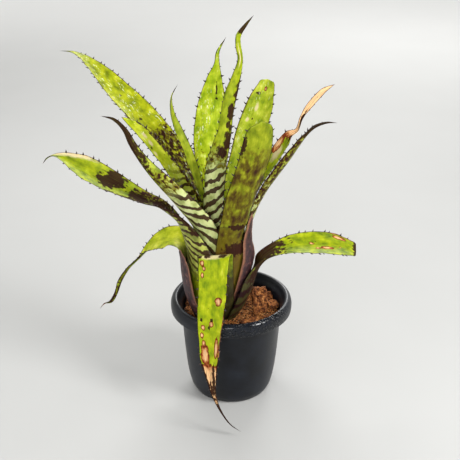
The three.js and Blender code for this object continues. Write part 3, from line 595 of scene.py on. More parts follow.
LEAVES = {
    "leaf_front_folded": look(
        11, upper=("#5E7A06", "#8C9E0A", "#AAB610", "#CCD03C"), free=70, toothed=112,
        sheath=("#2B1A1C", 74, 0.9),
        # the crease and its spots, eyes down both sides, then the dry end and its dark strand
        marks=[
            ("dark", 0.0, 90, 18, 1.8), ("pale", 0.1, 95, 17, 4.0), ("dark", 0.45, 95, 4, 2.4),
            ("dark", -0.5, 96, 4, 2.4), ("dark", 0.85, 95, 2.4, 3), ("dry", -0.45, 140, 3.6, 4.6),
            ("dry", 0.75, 103, 2.3, 3.4), ("dry", 0.6, 109, 1.8, 2.2), ("dry", 0.72, 116, 1.6, 3.0),
            ("dry", -0.06, 165, 2.4, 3.2), ("dry", 0.58, 170, 2.0, 2.8), ("dry", 0.66, 178, 1.7, 3.2),
            ("dry", 0.6, 186, 1.6, 3.2), ("dry", -0.62, 189, 2.4, 12), ("dry", -2, 176, 1.2, 36),
            ("dark", -0.06, 160, 1.6, 2.0), ("dark", 0.1, 169, 1.4, 1.6), ("dark", 0.7, 162, 1.6, 2.0),
            ("dry", 0.48, 198, 4.2, 11), ("dry", 0, 208, 0, 10), ("dark", 0, 246, 0, 16),
            ("dark", -2, 226, 1.6, 24), ("dark", 2, 222, 1.6, 24), ("dark", -0.35, 226, 2.2, 18),
            ("dark", 0.4, 236, 1.3, 10),
        ],
    ),
    "leaf_right_blunt": look(
        23, upper=("#4A5E06", "#728408", "#94A00A", "#B4BA28"), free=78, toothed=88, bands=(6, 62),
        between="#7E8A54", wash=0.6, pitch=15, bow=0.006, lean=0.35, sheath=("#241014", 62, 0.86),
        # the dark sheath, four eyes and the browned end
        marks=[
            ("dark", -1.0, 70, 24, 30), ("dark", 0.3, 62, 12, 18), ("dry", -0.1, 127, 1.5, 2.4),
            ("dry", 0.36, 133, 1.6, 2.6), ("dry", 0.28, 143, 2.0, 8), ("dry", -0.72, 156, 1.7, 7),
            ("dark", 0, 172, 0, 4), ("dry", -2, 160, 1.0, 16), ("dry", 0.1, 158, 0.9, 1.4),
        ],
    ),
    "leaf_left_drooping": look(
        37, upper=("#74860C", "#A0AC14", "#C0C62C", "#DCDE66"), free=80, toothed=96,
        mottle=(140, 240, 0.94), bands=(20, 72), between="#8E9A54", sheath=("#2B1A1C", 74, 0.8),
        # a browned lower margin and the dead tip
        marks=[
            ("dark", -2, 168, 1.2, 62), ("dry", 0.2, 232, 0, 10), ("dark", 0.5, 200, 1.2, 14),
            ("dark", -0.6, 218, 1.4, 10),
        ],
    ),
    "leaf_left_blotched": look(
        41, upper=("#5A6C08", "#7C8C0A", "#9AA60E", "#B4BA2C"), under=OLIVE[:3], bands=(62, 156), wash=0.45,
        between="#C2C474", pitch=8.0, lean=-0.5, mottle=(130, 180, 1.0), toothed=120,
        # the bleached upper edge, the big blotch, a second one that runs on to the sheath, and the tip
        marks=[
            ("pale", 0.88, 241, 3.6, 22), ("dark", 0.5, 194, 9, 12), ("dark", 0.0, 202, 9, 10),
            ("dark", -0.1, 166, 9, 12), ("dark", -2, 150, 5, 50), ("dark", 0.2, 140, 8, 16),
            ("dark", 0, 268, 0, 9), ("dark", -0.4, 255, 1.2, 1.6), ("dark", 0.8, 84, 8, 34),
        ],
    ),
    "leaf_front_banded": look(
        53, upper=FRESH, under=("#62700C", "#7F8A14", "#98A022"), bands=(84, 136), band_strength=0.6,
        wash=0.3, between="#77702A", mottle=(84, 208, 1.08), toothed=120, pitch=13, bow=-0.012, soft=1.7,
        patches=(6.0, 11.0), sheath=("#543218", 106, 0.78),
        # the dark foot and a nick near the top
        marks=[
            ("dark", -0.3, 90, 14, 7), ("dark", 0.9, 205, 2.6, 12), ("dark", -0.2, 116, 11, 3.4),
        ],
    ),
    "leaf_left_dark_tip": look(
        67, upper=OLIVE, under=("#6E7C1C", "#929E28", "#AAB23C"), bands=(52, 172), wash=0.8, pitch=12.5,
        bow=0.004, lean=-0.8, mottle=(150, 200, 0.98), toothed=118,
        # the dead end, a brown margin and one pale spot
        marks=[
            ("dark", 0, 236, 0, 9), ("dark", 1.0, 226, 17, 46), ("dark", 2, 150, 5, 50),
            ("pale", 0.75, 186, 3.0, 9),
        ],
    ),
    "leaf_right_dark_tip": look(
        71, under=("#66741A", "#88942A", "#A2AA44"), bands=(60, 165), wash=0.6, mottle=(120, 230, 1.04),
        toothed=120, lean=0.6,
        # the needle tip and both browned margins
        marks=[
            ("dark", 0, 219, 0, 8), ("dark", -2, 196, 2.4, 44), ("dark", 2, 196, 1.4, 40),
        ],
    ),
    "leaf_upper_left": look(
        83, under=LIME_UNDER, upper=("#626E08", "#8A940A", "#A8AE10", "#D0D24A"), mottle=(110, 226, 1.06),
        toothed=125, wet=1.0, patches=(4.4, 6.0),
        # two specks, a brown margin and the tip
        marks=[
            ("dark", -0.08, 272, 1.5, 1.8), ("dark", -0.2, 234, 1.6, 2.0), ("dark", 0, 368, 0, 8),
            ("dark", -2, 226, 2.2, 24),
        ],
    ),
    "leaf_right_dry_tip": look(
        97, bands=(60, 150), wash=0.3, mottle=(120, 172, 0.9), toothed=120,
        # pale and dry patches at the crease, then the dry end with dark streaks
        marks=[
            ("pale", -0.2, 184, 4.0, 10), ("dry", -0.7, 193, 3.6, 9), ("dry", 0, 203, 0, 9),
            ("dark", 0.5, 205, 1.6, 6), ("dark", 0.3, 228, 1.8, 10),
        ],
    ),
    "leaf_left_bright": look(
        101, under=LIME_UNDER, upper=("#84960C", "#A6B216", "#C0C830", "#DADE6A"), mottle=(100, 238, 1.06),
        mottled_from=0.62, bands=(60, 172), lean=0.5, pitch=9.0, wash=0.2, toothed=125, wet=0.6,
        # pale spots and a dark speck
        marks=[
            ("pale", -0.05, 214, 1.6, 4), ("pale", -0.15, 204, 1.8, 4), ("pale", -0.6, 193, 1.2, 3),
            ("dark", -0.55, 200, 1.0, 1.2),
        ],
    ),
    "leaf_right_tall": look(
        113, upper=("#6E8410", "#94A61A", "#B6C032", "#DADC70"), under=LIME_UNDER, bands=(60, 120),
        wash=0.3, toothed=130, wet=0.5,
        # pale spots, a dry eye under the cut top and two specks
        marks=[
            ("pale", -0.25, 226, 2.0, 5), ("dry", 0.0, 246, 1.7, 2.2), ("pale", -0.55, 211, 2.0, 2.6),
            ("dark", -0.25, 213, 1.1, 1.2), ("dark", -0.5, 240, 2.2, 1.4),
        ],
    ),
    "leaf_twisted": look(
        127, upper=LIME, under=("#66760A", "#8A980E", "#A8B222"), bands=(60, 184), wash=0.85, pitch=11.5,
        bow=0.01, lean=0.8, mottle=(160, 205, 0.9), toothed=130, wet=0.4,
        # blotches along the right margin, the pale twist and the tip
        marks=[
            ("dark", -0.62, 229, 3.4, 8), ("dark", -0.7, 199, 4.6, 9), ("dark", -0.9, 248, 2.6, 12),
            ("dark", -2, 262, 1.4, 22), ("dark", -0.3, 187, 5, 5), ("dark", 0, 305, 0, 8),
            ("pale", 0.2, 282, 0.5, 12), ("dark", -0.6, 214, 2.6, 6),
        ],
    ),
    "leaf_left_slender": look(
        131, upper=("#5A6A12", "#7C8A1A", "#9AA42A", "#B6BC4A"), under=LIME_UNDER, bands=(60, 110),
        wash=0.2, toothed=130,
        # the tip
        marks=[("dark", 0, 250, 0, 5)],
    ),
    "leaf_centre_tall": look(
        149, under=LIME_UNDER, upper=("#6C860A", "#92A812", "#B6C42C", "#E0E688"), bands=(60, 120),
        wash=0.3, toothed=135, wet=1.0, mottle=(120, 190, 0.8),
        # a streak with a spot, a dry margin and the tip
        marks=[
            ("dark", 0.3, 240, 0.9, 8), ("dark", 0.3, 232, 1.3, 1.4), ("dry", 2, 222, 0.8, 22),
            ("dark", 0, 288, 0, 5),
        ],
    ),
}  # fmt: skip


def dead_material(name, seed, settings):
    """Dead leaf sheath: papery dry tissue, purple-brown with pale flecks and a torn orange-brown edge."""
    material, tree = new_material(name)
    blade = add(tree, "SeparateXYZ", {0: add(tree, "Attribute", attribute_name="blade", out="Vector")}, out=None)
    growth = add(tree, "SeparateXYZ", {0: add(tree, "Attribute", attribute_name="growth", out="Vector")}, out=None)
    x = add(tree, "Math", {0: blade.outputs[0], 1: 0.9}, operation="MULTIPLY")
    y = add(tree, "Math", {0: blade.outputs[1], 1: 0.05}, operation="MULTIPLY")
    fibres = add(tree, "TexNoise", {"Vector": add(tree, "CombineXYZ", {0: x, 1: y, 2: float(seed)}), "Scale": 1.0,
                                    "Detail": 4.0})  # fmt: skip
    flat = add(tree, "CombineXYZ", {0: blade.outputs[0], 1: blade.outputs[1], 2: float(seed)})
    flecks = add(tree, "TexNoise", {"Vector": flat, "Scale": 0.22, "Detail": 4.0, "Roughness": 0.6})
    stops = [(0.32, "#170C0F"), (0.5, "#35191D"), (0.62, "#54302E"), (0.76, "#8C6A5A")]
    tone = add(tree, "ValToRGB", {0: flecks}, stops=stops)
    stripe = add(tree, "MapRange", {0: fibres, 1: 0.3, 2: 0.7, 3: 0.55, 4: 1.25})
    stripe = add(tree, "CombineXYZ", {0: stripe, 1: stripe, 2: stripe})
    tone = add(tree, "Mix", {0: 1.0, 6: tone, 7: stripe}, out=2, data_type="RGBA", blend_type="MULTIPLY")
    rust = add(tree, "Math", {0: flecks, 1: 7.0, 2: growth.outputs[0]}, operation="MULTIPLY_ADD")
    rust = add(tree, "MapRange", {0: rust, 1: 4.4, 2: 7.4, 3: 0.9, 4: 0.0})
    tone = add(tree, "Mix", {0: rust, 6: tone, 7: settings.rust_colour}, out=2, data_type="RGBA")
    relief = add(tree, "Bump", {"Height": fibres, "Distance": 0.0006, "Strength": 0.8})
    shader = add(tree, "BsdfPrincipled", {"Base Color": tone, "Roughness": 0.6, "Normal": relief})
    add(tree, "OutputMaterial", {0: shader})
    return material


DEAD = {
    "sheath_left_dead": look(211, free=25, marks=[("dry", 0, 60, 0, 20)]),
    "sheath_right_dead": look(223, free=30, marks=[("dry", 0, 80, 0, 30)]),
    "sheath_back_dead": look(227, free=25, marks=[("dry", 0, 60, 0, 20)]),
}


# ---------------------------------------------------------------- pot


def pot_profile(settings):
    """The pot's outline as (radius, height) in metres: foot ring, wall, rolled rim with its hollow lip, inside."""
    foot, rim, height, wall = (v / MM for v in (settings.foot_radius, settings.rim_radius, settings.height,
                                                 settings.wall))  # fmt: skip
    outer = [(foot, 0), (foot + 2.8, 1.6), (44.4, 8), (46.9, 19), (48.9, 33), (51, 56), (52.8, 82), (54, 100)]
    lip = [(57, 106.4), (60.4, 107.6), (62.5, 105.4), (63.2, 101), (63.2, 97.6), (rim - 0.4, 97.6)]
    roll = [(rim, 101), (rim - 0.1, 105.2), (rim - 1.3, 109), (rim - 3.4, 111.1), (rim - 5.6, height),
            (57.8, 110.4), (56, 106.4), (53.2, 100.6)]  # fmt: skip
    inside = [(radius - wall, level) for radius, level in outer[-2:1:-1]] + [(40.6, 4.6)]
    return outer, lip + roll, inside


def smooth_run(points, per_span):
    """A denser run through points along the curve of spline(), whose knots are the straight lengths between them."""
    points = np.array(points, float)
    knots = np.concatenate([[0], np.cumsum(np.linalg.norm(np.diff(points, axis=0), axis=1))])
    at = np.concatenate([np.linspace(a, b, per_span, endpoint=False) for a, b in zip(knots, knots[1:])] + [[knots[-1]]])
    return spline(knots, at) @ points


def turned(run, sides):
    """A run of (radius, height) carried round the Z axis: points row by row."""
    angle = np.arange(sides) * 2 * math.pi / sides
    x = run[:, 0:1] * np.cos(angle)
    y = run[:, 0:1] * np.sin(angle)
    return np.stack([x, y, run[:, 1:2] + 0 * x], -1).reshape(-1, 3)


def drilled_ring(inner, outer, hole, level, sectors, arc, rows):
    """A flat ring with one round hole in each sector.

    Each sector is a grid that runs in straight lines from the hole's edge, row 0, to the sector's outline.
    """
    half = math.pi / sectors
    sweep = np.linspace(-half, half, arc + 1)
    spoke = np.linspace(0, 1, 5)
    out = [(outer * math.cos(a), outer * math.sin(a)) for a in sweep[:-1]]
    down = [((outer + (inner - outer) * t) * math.cos(half), (outer + (inner - outer) * t) * math.sin(half))
            for t in spoke[:-1]]  # fmt: skip
    back = [(inner * math.cos(a), inner * math.sin(a)) for a in sweep[:0:-1]]
    up = [((inner + (outer - inner) * t) * math.cos(half), -(inner + (outer - inner) * t) * math.sin(half))
          for t in spoke[:-1]]  # fmt: skip
    outline = np.array(out + down + back + up)
    centre = np.array([(inner + outer) / 2, 0.0])
    circle = centre + hole * unit(outline - centre)
    t = np.linspace(0, 1, rows)[:, None, None]
    flat = circle[None] * (1 - t) + outline[None] * t
    patches = []
    for k in range(sectors):
        a = 2 * math.pi * (k + 0.5) / sectors
        turn = np.array([[math.cos(a), math.sin(a)], [-math.sin(a), math.cos(a)]])
        spun = flat @ turn
        patches.append(np.concatenate([spun, np.full((*spun.shape[:2], 1), level)], -1))
    return patches, len(outline)


def pot_arrays(settings):
    """The pot as one closed wall: turned runs for its outside, rim and inside, and a drilled floor, all in mm.

    The floor is raised between the foot ring and a boss in the middle, and the drain holes stand in it.
    """
    outer, rim, inside = pot_profile(settings)
    sides = 192
    floor_top, floor_under = 4.6, 2.4
    near, far, hole = 17.0, 29.0, 4.0  # the ring that holds the drain holes, and a hole's radius
    boss = 8.0  # the flat fans that close the boss reach this far
    wall = np.concatenate([smooth_run(outer[:2], 3)[:-1], smooth_run(outer[1:] + rim[:3], 6)[:-1],
                           smooth_run(rim[2:5], 3)[:-1], smooth_run(rim[4:6], 2)[:-1],
                           smooth_run(rim[5:] + inside[:-1], 6)[:-1], smooth_run(inside[-2:], 3)])  # fmt: skip
    outside_top = np.array([inside[-1], (far, floor_top)])
    outside_low = np.array([(far, floor_under), (31.4, floor_under), (32.4, 0), (outer[0][0], 0)])
    boss_top = np.array([(near, floor_top), (boss, floor_top)])
    boss_low = np.array([(boss, 0), (13, 0), (14, floor_under), (near, floor_under)])
    points, quads, triangles, starts = [], [], [], []
    start = 0
    for run in (wall, outside_top, outside_low, boss_top, boss_low):
        points.append(turned(run, sides))
        quads.append(grid_faces(len(run), sides, start))
        starts.append(start)
        start += len(run) * sides
    for first, level in ((starts[3] + sides, floor_top), (starts[4], 0)):
        points.append(np.array([[0, 0, level]]))
        triangles.append(fan(first, sides, start))
        start += 1
    rows = 5
    top, count = drilled_ring(near, far, hole, floor_top, DRAIN_HOLES, sides // DRAIN_HOLES, rows)
    low, _ = drilled_ring(near, far, hole, floor_under, DRAIN_HOLES, sides // DRAIN_HOLES, rows)
    for above, below in zip(top, low):
        for patch in (above, below, np.stack([above[0], below[0]])):
            points.append(patch.reshape(-1, 3))
            quads.append(grid_faces(len(patch), count, start))
            start += patch.shape[0] * count
    return np.concatenate(points) * MM, np.concatenate(quads), np.concatenate(triangles)


def pot_material(settings):
    """Injection moulded polypropylene, black and satin, with a splashed wet patch on the front of its rim."""
    material, tree = new_material("moulded_polypropylene_black")
    place = add(tree, "TexCoord", out="Object")
    axes = add(tree, "SeparateXYZ", {0: place}, out=None)
    grain = add(tree, "TexNoise", {"Vector": place, "Scale": 1400.0, "Detail": 2.0})
    smear = add(tree, "TexNoise", {"Vector": place, "Scale": 38.0, "Detail": 4.0, "Roughness": 0.6})
    dust = add(tree, "ValToRGB", {0: smear}, stops=[(0.35, "#090B0F"), (0.55, "#10131A"), (0.78, "#1B2028")])
    # scuffs run round the wall, as a pot gets when it is pulled from a stack
    stretch = add(tree, "Mapping", {0: place, 3: (60.0, 60.0, 700.0)})
    scuff = add(tree, "TexNoise", {"Vector": stretch, "Scale": 1.0, "Detail": 3.0})
    scuffed = add(tree, "MapRange", {0: scuff, 1: 0.62, 2: 0.78, 3: 0.0, 4: 0.35})
    tone = add(tree, "Mix", {0: scuffed, 6: dust, 7: linear("#2A2D30")}, out=2, data_type="RGBA")
    # the wet patch: a ball of damp round one spot on the rim, broken into beads 1.5 to 3 mm wide
    away = add(tree, "VectorMath", {0: place, 1: tuple(settings.wet_place)}, out="Value", operation="DISTANCE")
    away = add(tree, "Math", {0: smear, 1: -0.03, 2: away}, operation="MULTIPLY_ADD")
    wet = add(tree, "MapRange", {0: away, 1: 0.018, 2: 0.034, 3: 1.0, 4: 0.0})
    outside = add(tree, "MapRange", {0: axes.outputs[2], 1: 0.094, 2: 0.098})
    wet = add(tree, "Math", {0: wet, 1: outside}, operation="MULTIPLY")
    cells = add(tree, "TexVoronoi", {"Vector": place, "Scale": 420.0}, out="Distance", feature="F1")
    bead = add(tree, "MapRange", {0: cells, 1: 0.5, 2: 0.15}, interpolation_type="SMOOTHSTEP")
    bead = add(tree, "Math", {0: bead, 1: wet}, operation="MULTIPLY")
    rough = add(tree, "MapRange", {0: smear, 1: 0.3, 2: 0.7, 3: 0.3, 4: 0.46})
    rough = add(tree, "Mix", {0: wet, 2: rough, 3: 0.08}, data_type="FLOAT")
    relief = add(tree, "Bump", {"Height": grain, "Distance": 0.00006, "Strength": 0.5})
    relief = add(tree, "Bump", {"Height": bead, "Distance": 0.002, "Strength": 1.0, "Normal": relief})
    shader = add(
        tree,
        "BsdfPrincipled",
        {"Base Color": tone, "Roughness": rough, "IOR": 1.49, "Specular IOR Level": 0.3, "Normal": relief},
    )
    add(tree, "OutputMaterial", {0: shader})
    return material


# ---------------------------------------------------------------- husk medium


def husk_height(x, y, settings):
    """The medium's top in metres: three sizes of bump, 14, 5 and 2 mm wide, on a level, higher against the crown."""
    mound = 2.0 * np.exp(-(((x - CROWN[0]) ** 2 + (y - CROWN[1]) ** 2) / 0.036**2))
    bumps = 1.6 * ripple(x / 0.014, y / 0.014, 301) + 1.0 * ripple(x / 0.005, y / 0.005, 302)
    bumps = bumps + 0.5 * ripple(x / 0.002 + 31, y / 0.002 + 31, 303)
    return settings.level + (mound + bumps) * MM


def medium_arrays(settings):
    """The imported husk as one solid: a bumpy top in polar rings, the side that follows the pot, and a flat floor."""
    pot_outside, pot_wall, clearance = 52.8, 1.4, 0.5  # at the height of the husk's top, in mm
    rim = (pot_outside - pot_wall - clearance) * MM
    sides, rings = 180, 64
    angle = np.arange(sides) * 2 * math.pi / sides
    radius = rim * np.linspace(1, 0.03, rings)[:, None]
    x, y = radius * np.cos(angle), radius * np.sin(angle)
    fade = ease(rim - radius, 0, 0.002)
    top = np.stack([x, y, settings.level + (husk_height(x, y, settings) - settings.level) * fade], -1)
    wall = np.array([(39, 5), (42.4, 8), (44.9, 19), (46.9, 33), (49, 56), (50.6, 82)]) * MM
    side = turned(wall, sides).reshape(len(wall), sides, 3)
    rows = np.concatenate([side, top])
    count = len(rows)
    points = np.concatenate([rows.reshape(-1, 3), [[0, 0, 5 * MM], [0, 0, float(top[-1, :, 2].mean())]]])
    hub = count * sides
    poles = np.concatenate([fan(0, sides, hub, backward=True), fan(hub - sides, sides, hub + 1)])
    return points, grid_faces(count, sides), poles


def chunk(centre, axes, sizes, seed, rows=64, columns=88, block=0.34):
    """A torn husk chunk: a superellipsoid, cos and sin raised to a power under 1, cut by fibre grooves and pits.

    Each point then moves in or out along its own direction by a sum in mm: slow lumps, less grooves, plus pits.
    Grooves are 1 - |noise| drawn out along the chunk, so that they meet in sharp creases.
    """
    u = np.linspace(-math.pi / 2, math.pi / 2, rows)[1:-1, None]
    w = np.arange(columns)[None, :] * 2 * math.pi / columns

    def power(value):
        return np.sign(value) * np.abs(value) ** block

    shape = np.stack([power(np.cos(u)) * power(np.cos(w)), power(np.cos(u)) * power(np.sin(w)),
                      power(np.sin(u)) + 0 * w], -1)  # fmt: skip
    poles = np.array([[0, 0, -1.0], [0, 0, 1.0]])
    body = np.concatenate([shape.reshape(-1, 3), poles])
    x, y, z = (body * sizes / MM).T
    lump = 1.1 * ripple(x / 5 + 31, y / 3.4 + z / 4.1, seed)
    groove = 1 - np.abs(ripple(x / 12 + 31, y / 1.6 + z / 1.9 + 0.6 * ripple(x / 3 + 20, z / 2, seed + 3), seed + 1))
    pit = ripple(x / 1.3 + 31, y / 1.2 + z / 1.4, seed + 2)
    depth = np.clip(1.5 * lump, -1.9, 0.6) - 1.3 * groove**4 + 0.22 * pit
    points = body * sizes + unit(body) * (depth * MM)[:, None]
    hub = (rows - 2) * columns
    ends = np.concatenate([fan(0, columns, hub, backward=True), fan(hub - columns, columns, hub + 1)])
    return centre + points @ axes, grid_faces(rows - 2, columns), ends


def frame_chip(node):
    """A chip's middle, axes and half sizes, from the spread of its frame solid's corners."""
    _, points = frame_corners(node)
    points = np.unique(np.round(points, 6), axis=0)
    centre = (points.max(0) + points.min(0)) / 2
    _, _, axes = np.linalg.svd(points - points.mean(0), full_matrices=False)
    if np.linalg.det(axes) < 0:
        axes[2] = -axes[2]
    along = (points - centre) @ axes.T
    return centre, axes, (along.max(0) - along.min(0)) / 2


def scattered(count, seed, settings):
    """Places on the medium, evenly spread between the crown and the pot's wall, and the draws that go on from them."""
    spread, crown = 0.0485, 0.021  # metres from the pot's axis, and clear of the crown's
    random = np.random.default_rng(seed)
    angle = random.uniform(0, 2 * math.pi, count * 4)
    radius = spread * np.sqrt(random.uniform(0, 1, count * 4))
    x, y = radius * np.cos(angle), radius * np.sin(angle)
    clear = (x - CROWN[0]) ** 2 + (y - CROWN[1]) ** 2 > crown**2
    x, y = x[clear][:count], y[clear][:count]
    return np.stack([x, y, husk_height(x, y, settings)], -1), random


def crumb_arrays(settings):
    """Crumbs of husk 2 to 5.6 mm long: each is a lump of 3 rings of 5 points, turned at random."""
    places, random = scattered(settings.crumbs, 311, settings)
    count = len(places)
    angle = np.arange(5) * 2 * math.pi / 5
    shape = np.stack([np.stack([np.full(5, z), r * np.cos(angle), 0.7 * r * np.sin(angle)], -1)
                      for z, r in ((-1, 0.55), (0.1, 1.0), (1, 0.6))]).reshape(-1, 3)  # fmt: skip
    jitter = 1 + random.uniform(-0.3, 0.3, (count, 15, 1))
    sizes = np.stack([random.uniform(1.0, 2.8, count), random.uniform(0.6, 1.6, count),
                      random.uniform(0.4, 1.0, count)], -1) * MM  # fmt: skip
    yaw, pitch = random.uniform(0, 2 * math.pi, count), random.uniform(-0.6, 0.6, count)
    a = np.stack([np.cos(yaw) * np.cos(pitch), np.sin(yaw) * np.cos(pitch), np.sin(pitch)], -1)
    b = unit(np.cross([0, 0, 1.0], a))
    axes = np.stack([a, b, np.cross(a, b)], 1)
    points = places[:, None] + np.einsum("npk,nkc->npc", shape[None] * jitter * sizes[:, None], axes)
    points[..., 2] += 0.3 * MM
    quads = grid_faces(3, 5)
    ends = np.array([[0, 2, 1], [0, 3, 2], [0, 4, 3], [10, 11, 12], [10, 12, 13], [10, 13, 14]])
    offset = np.arange(count)[:, None, None] * 15
    return points.reshape(-1, 3), (quads + offset).reshape(-1, 4), (ends + offset).reshape(-1, 3)


def fibre_arrays(settings):
    """Loose coir fibres 5 to 16 mm long: 4-sided tubes along arcs that lie on the husk and lift a little mid-way."""
    places, random = scattered(settings.fibres, 317, settings)
    count = len(places)
    t = np.linspace(-1, 1, 8)
    length = random.uniform(3, 9, count)[:, None] * MM
    yaw = random.uniform(0, 2 * math.pi, count)[:, None]
    bend = random.uniform(-1.2, 1.2, count)[:, None]
    heading = yaw + bend * t
    step = np.stack([np.cos(heading), np.sin(heading)], -1) * (length / 4)[..., None]
    path = np.cumsum(step, axis=1)
    path = path - path.mean(1, keepdims=True) + places[:, None, :2]
    wall = 0.0495  # metres from the pot's axis, where a fibre that strays is drawn back to
    path = path * np.minimum(1, wall / np.linalg.norm(path, axis=2, keepdims=True))
    lift = random.uniform(0.3, 2.2, count)[:, None] * (1 - t**2) * MM
    z = husk_height(path[..., 0], path[..., 1], settings) + 0.25 * MM + lift
    line = np.concatenate([path, z[..., None]], -1)
    ahead = unit(np.gradient(line, axis=1))
    side = unit(np.cross(ahead, [0, 0, 1.0]))
    up = np.cross(side, ahead)
    radius = (random.uniform(0.12, 0.26, count)[:, None] * (1 - 0.6 * np.abs(t)) * MM)[..., None, None]
    angle = np.arange(4) * math.pi / 2
    ring = side[:, :, None] * np.cos(angle)[:, None] + up[:, :, None] * np.sin(angle)[:, None]
    points = line[:, :, None] + ring * radius
    quads = grid_faces(8, 4)
    caps = np.array([[3, 2, 1, 0], [28, 29, 30, 31]])
    offset = np.arange(count)[:, None, None] * 32
    faces = np.concatenate([(quads + offset).reshape(-1, 4), (caps + offset).reshape(-1, 4)])
    return points.reshape(-1, 3), faces, np.zeros((0, 3), int)


def husk_material(name, stops, fine):
    """Damp coconut husk: cork-like pith between coarse fibres, matt and orange-brown where dry, with painted shade that
    darkens its pits nearly to black.
    """
    material, tree = new_material(name)
    place = add(tree, "TexCoord", out="Object")
    pith = add(tree, "TexNoise", {"Vector": place, "Scale": fine, "Detail": 5.0, "Roughness": 0.65})
    pits = add(tree, "TexVoronoi", {"Vector": place, "Scale": fine * 1.6}, out="Distance", feature="F1")
    tone = add(tree, "ValToRGB", {0: pith}, stops=stops)
    # painted shade: the colour darkens towards the middle of each pit, where the bump below sinks the surface
    painted_pit_shade = add(tree, "MapRange", {0: pits, 1: 0.12, 2: 0.42, 3: 0.2, 4: 1.0})
    painted_pit_shade = add(tree, "CombineXYZ", {0: painted_pit_shade, 1: painted_pit_shade, 2: painted_pit_shade})
    tone = add(tree, "Mix", {0: 0.8, 6: tone, 7: painted_pit_shade}, out=2, data_type="RGBA", blend_type="MULTIPLY")
    relief = add(tree, "Bump", {"Height": pith, "Distance": 0.0012, "Strength": 0.8})
    relief = add(tree, "Bump", {"Height": pits, "Distance": 0.0006, "Strength": 0.6, "Normal": relief})
    shader = add(
        tree,
        "BsdfPrincipled",
        {"Base Color": tone, "Roughness": 0.85, "Specular IOR Level": 0.2, "Normal": relief},
    )
    add(tree, "OutputMaterial", {0: shader})
    return material


# ---------------------------------------------------------------- settings


def colour(name, description, code):
    """A colour setting whose default is an sRGB hex value."""
    return bpy.props.FloatVectorProperty(
        name=name, description=description, subtype="COLOR", size=4, min=0, max=1, default=linear(code)
    )


class BromeliadLeafSettings(bpy.types.PropertyGroup):
    """How finely leaves are grown, their spines, and the colours that all leaves share"""

    step: bpy.props.FloatProperty(
        name="Step along", description="Distance between rows of points along a leaf", default=0.0015,
        min=0.0005, unit="LENGTH",
    )  # fmt: skip
    cells: bpy.props.IntProperty(
        name="Cells across", description="Cells across one skin of a leaf", default=22, min=6
    )
    spine_length: bpy.props.FloatProperty(
        name="Spine length", description="Length of a marginal spine", default=0.0026, unit="LENGTH"
    )
    spine_radius: bpy.props.FloatProperty(
        name="Spine radius", description="Radius of a spine at its foot", default=0.0007, unit="LENGTH"
    )
    spine_gap: bpy.props.FloatProperty(
        name="Spine spacing", description="Distance between spines", default=0.0085, unit="LENGTH"
    )
    band_colour: colour("Band", "Dark cross bands and the middle of the mottling", "#31160A")
    olive_colour: colour("Olive", "Edge of the mottling", "#68600A")
    dark_colour: colour("Dark tissue", "Dying tissue", "#2C1209")
    pale_colour: colour("Bleached tissue", "Pale bleached tissue", "#D9C79A")
    spine_colour: colour("Spine", "The horny margin line", "#1E0F08")
    # painted highlight: the pale colour of the streaks that stand in for light caught on wet leaf skin
    painted_glint_colour: colour("Painted glint", "Streaks of water that catch the light", "#E4EAB4")
    rust_colour: colour("Rust", "Torn edge of a dead sheath", "#8A5A3E")


class BromeliadPotSettings(bpy.types.PropertyGroup):
    """The pot's driving sizes and its wet patch"""

    rim_radius: bpy.props.FloatProperty(
        name="Rim radius", description="Outer radius of the rolled rim",
        default=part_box("pot")[1].x, unit="LENGTH",
    )  # fmt: skip
    height: bpy.props.FloatProperty(
        name="Height", description="Height of the pot", default=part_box("pot")[1].z, unit="LENGTH"
    )
    foot_radius: bpy.props.FloatProperty(
        name="Foot radius", description="Outer radius of the foot ring", default=0.0386, unit="LENGTH"
    )
    wall: bpy.props.FloatProperty(
        name="Wall", description="Thickness of the wall", default=0.0014, unit="LENGTH"
    )
    wet_place: bpy.props.FloatVectorProperty(
        name="Wet place", description="Middle of the splashed patch on the rim", size=3,
        default=(0.023, -0.0605, 0.1035), subtype="XYZ", unit="LENGTH",
    )  # fmt: skip


class BromeliadHuskSettings(bpy.types.PropertyGroup):
    """How high the medium stands and how much lies loose on it"""

    level: bpy.props.FloatProperty(
        name="Level", description="Height of the medium's top", default=0.0938, unit="LENGTH"
    )
    crumbs: bpy.props.IntProperty(name="Crumbs", description="Small loose bits of husk", default=700, min=0)
    fibres: bpy.props.IntProperty(name="Fibres", description="Loose coir fibres", default=700, min=0)


class BromeliadStageSettings(bpy.types.PropertyGroup):
    """The paper, the lights and the camera"""

    floor_colour: colour("Floor", "Pale studio paper", "#B2B2B0")
    key_power: bpy.props.FloatProperty(
        name="Key light", description="Power of the big soft light", default=15.5, unit="POWER"
    )
    fill_power: bpy.props.FloatProperty(
        name="Fill light", description="Power of the low soft light", default=3.0, unit="POWER"
    )
    sky: bpy.props.FloatProperty(name="Sky", description="Strength of the even light", default=0.25, min=0)
    lens: bpy.props.FloatProperty(
        name="Lens", description="Focal length", default=70.4, min=1, unit="CAMERA"
    )
    camera_place: bpy.props.FloatVectorProperty(
        name="Camera", description="Place of the camera", size=3, default=(-0.0013, -0.840, 0.597),
        subtype="XYZ", unit="LENGTH",
    )  # fmt: skip
    camera_tilt: bpy.props.FloatProperty(
        name="Tilt", description="How far the camera looks below the horizon", default=math.radians(25.9),
        unit="ROTATION",
    )  # fmt: skip


# ---------------------------------------------------------------- operators


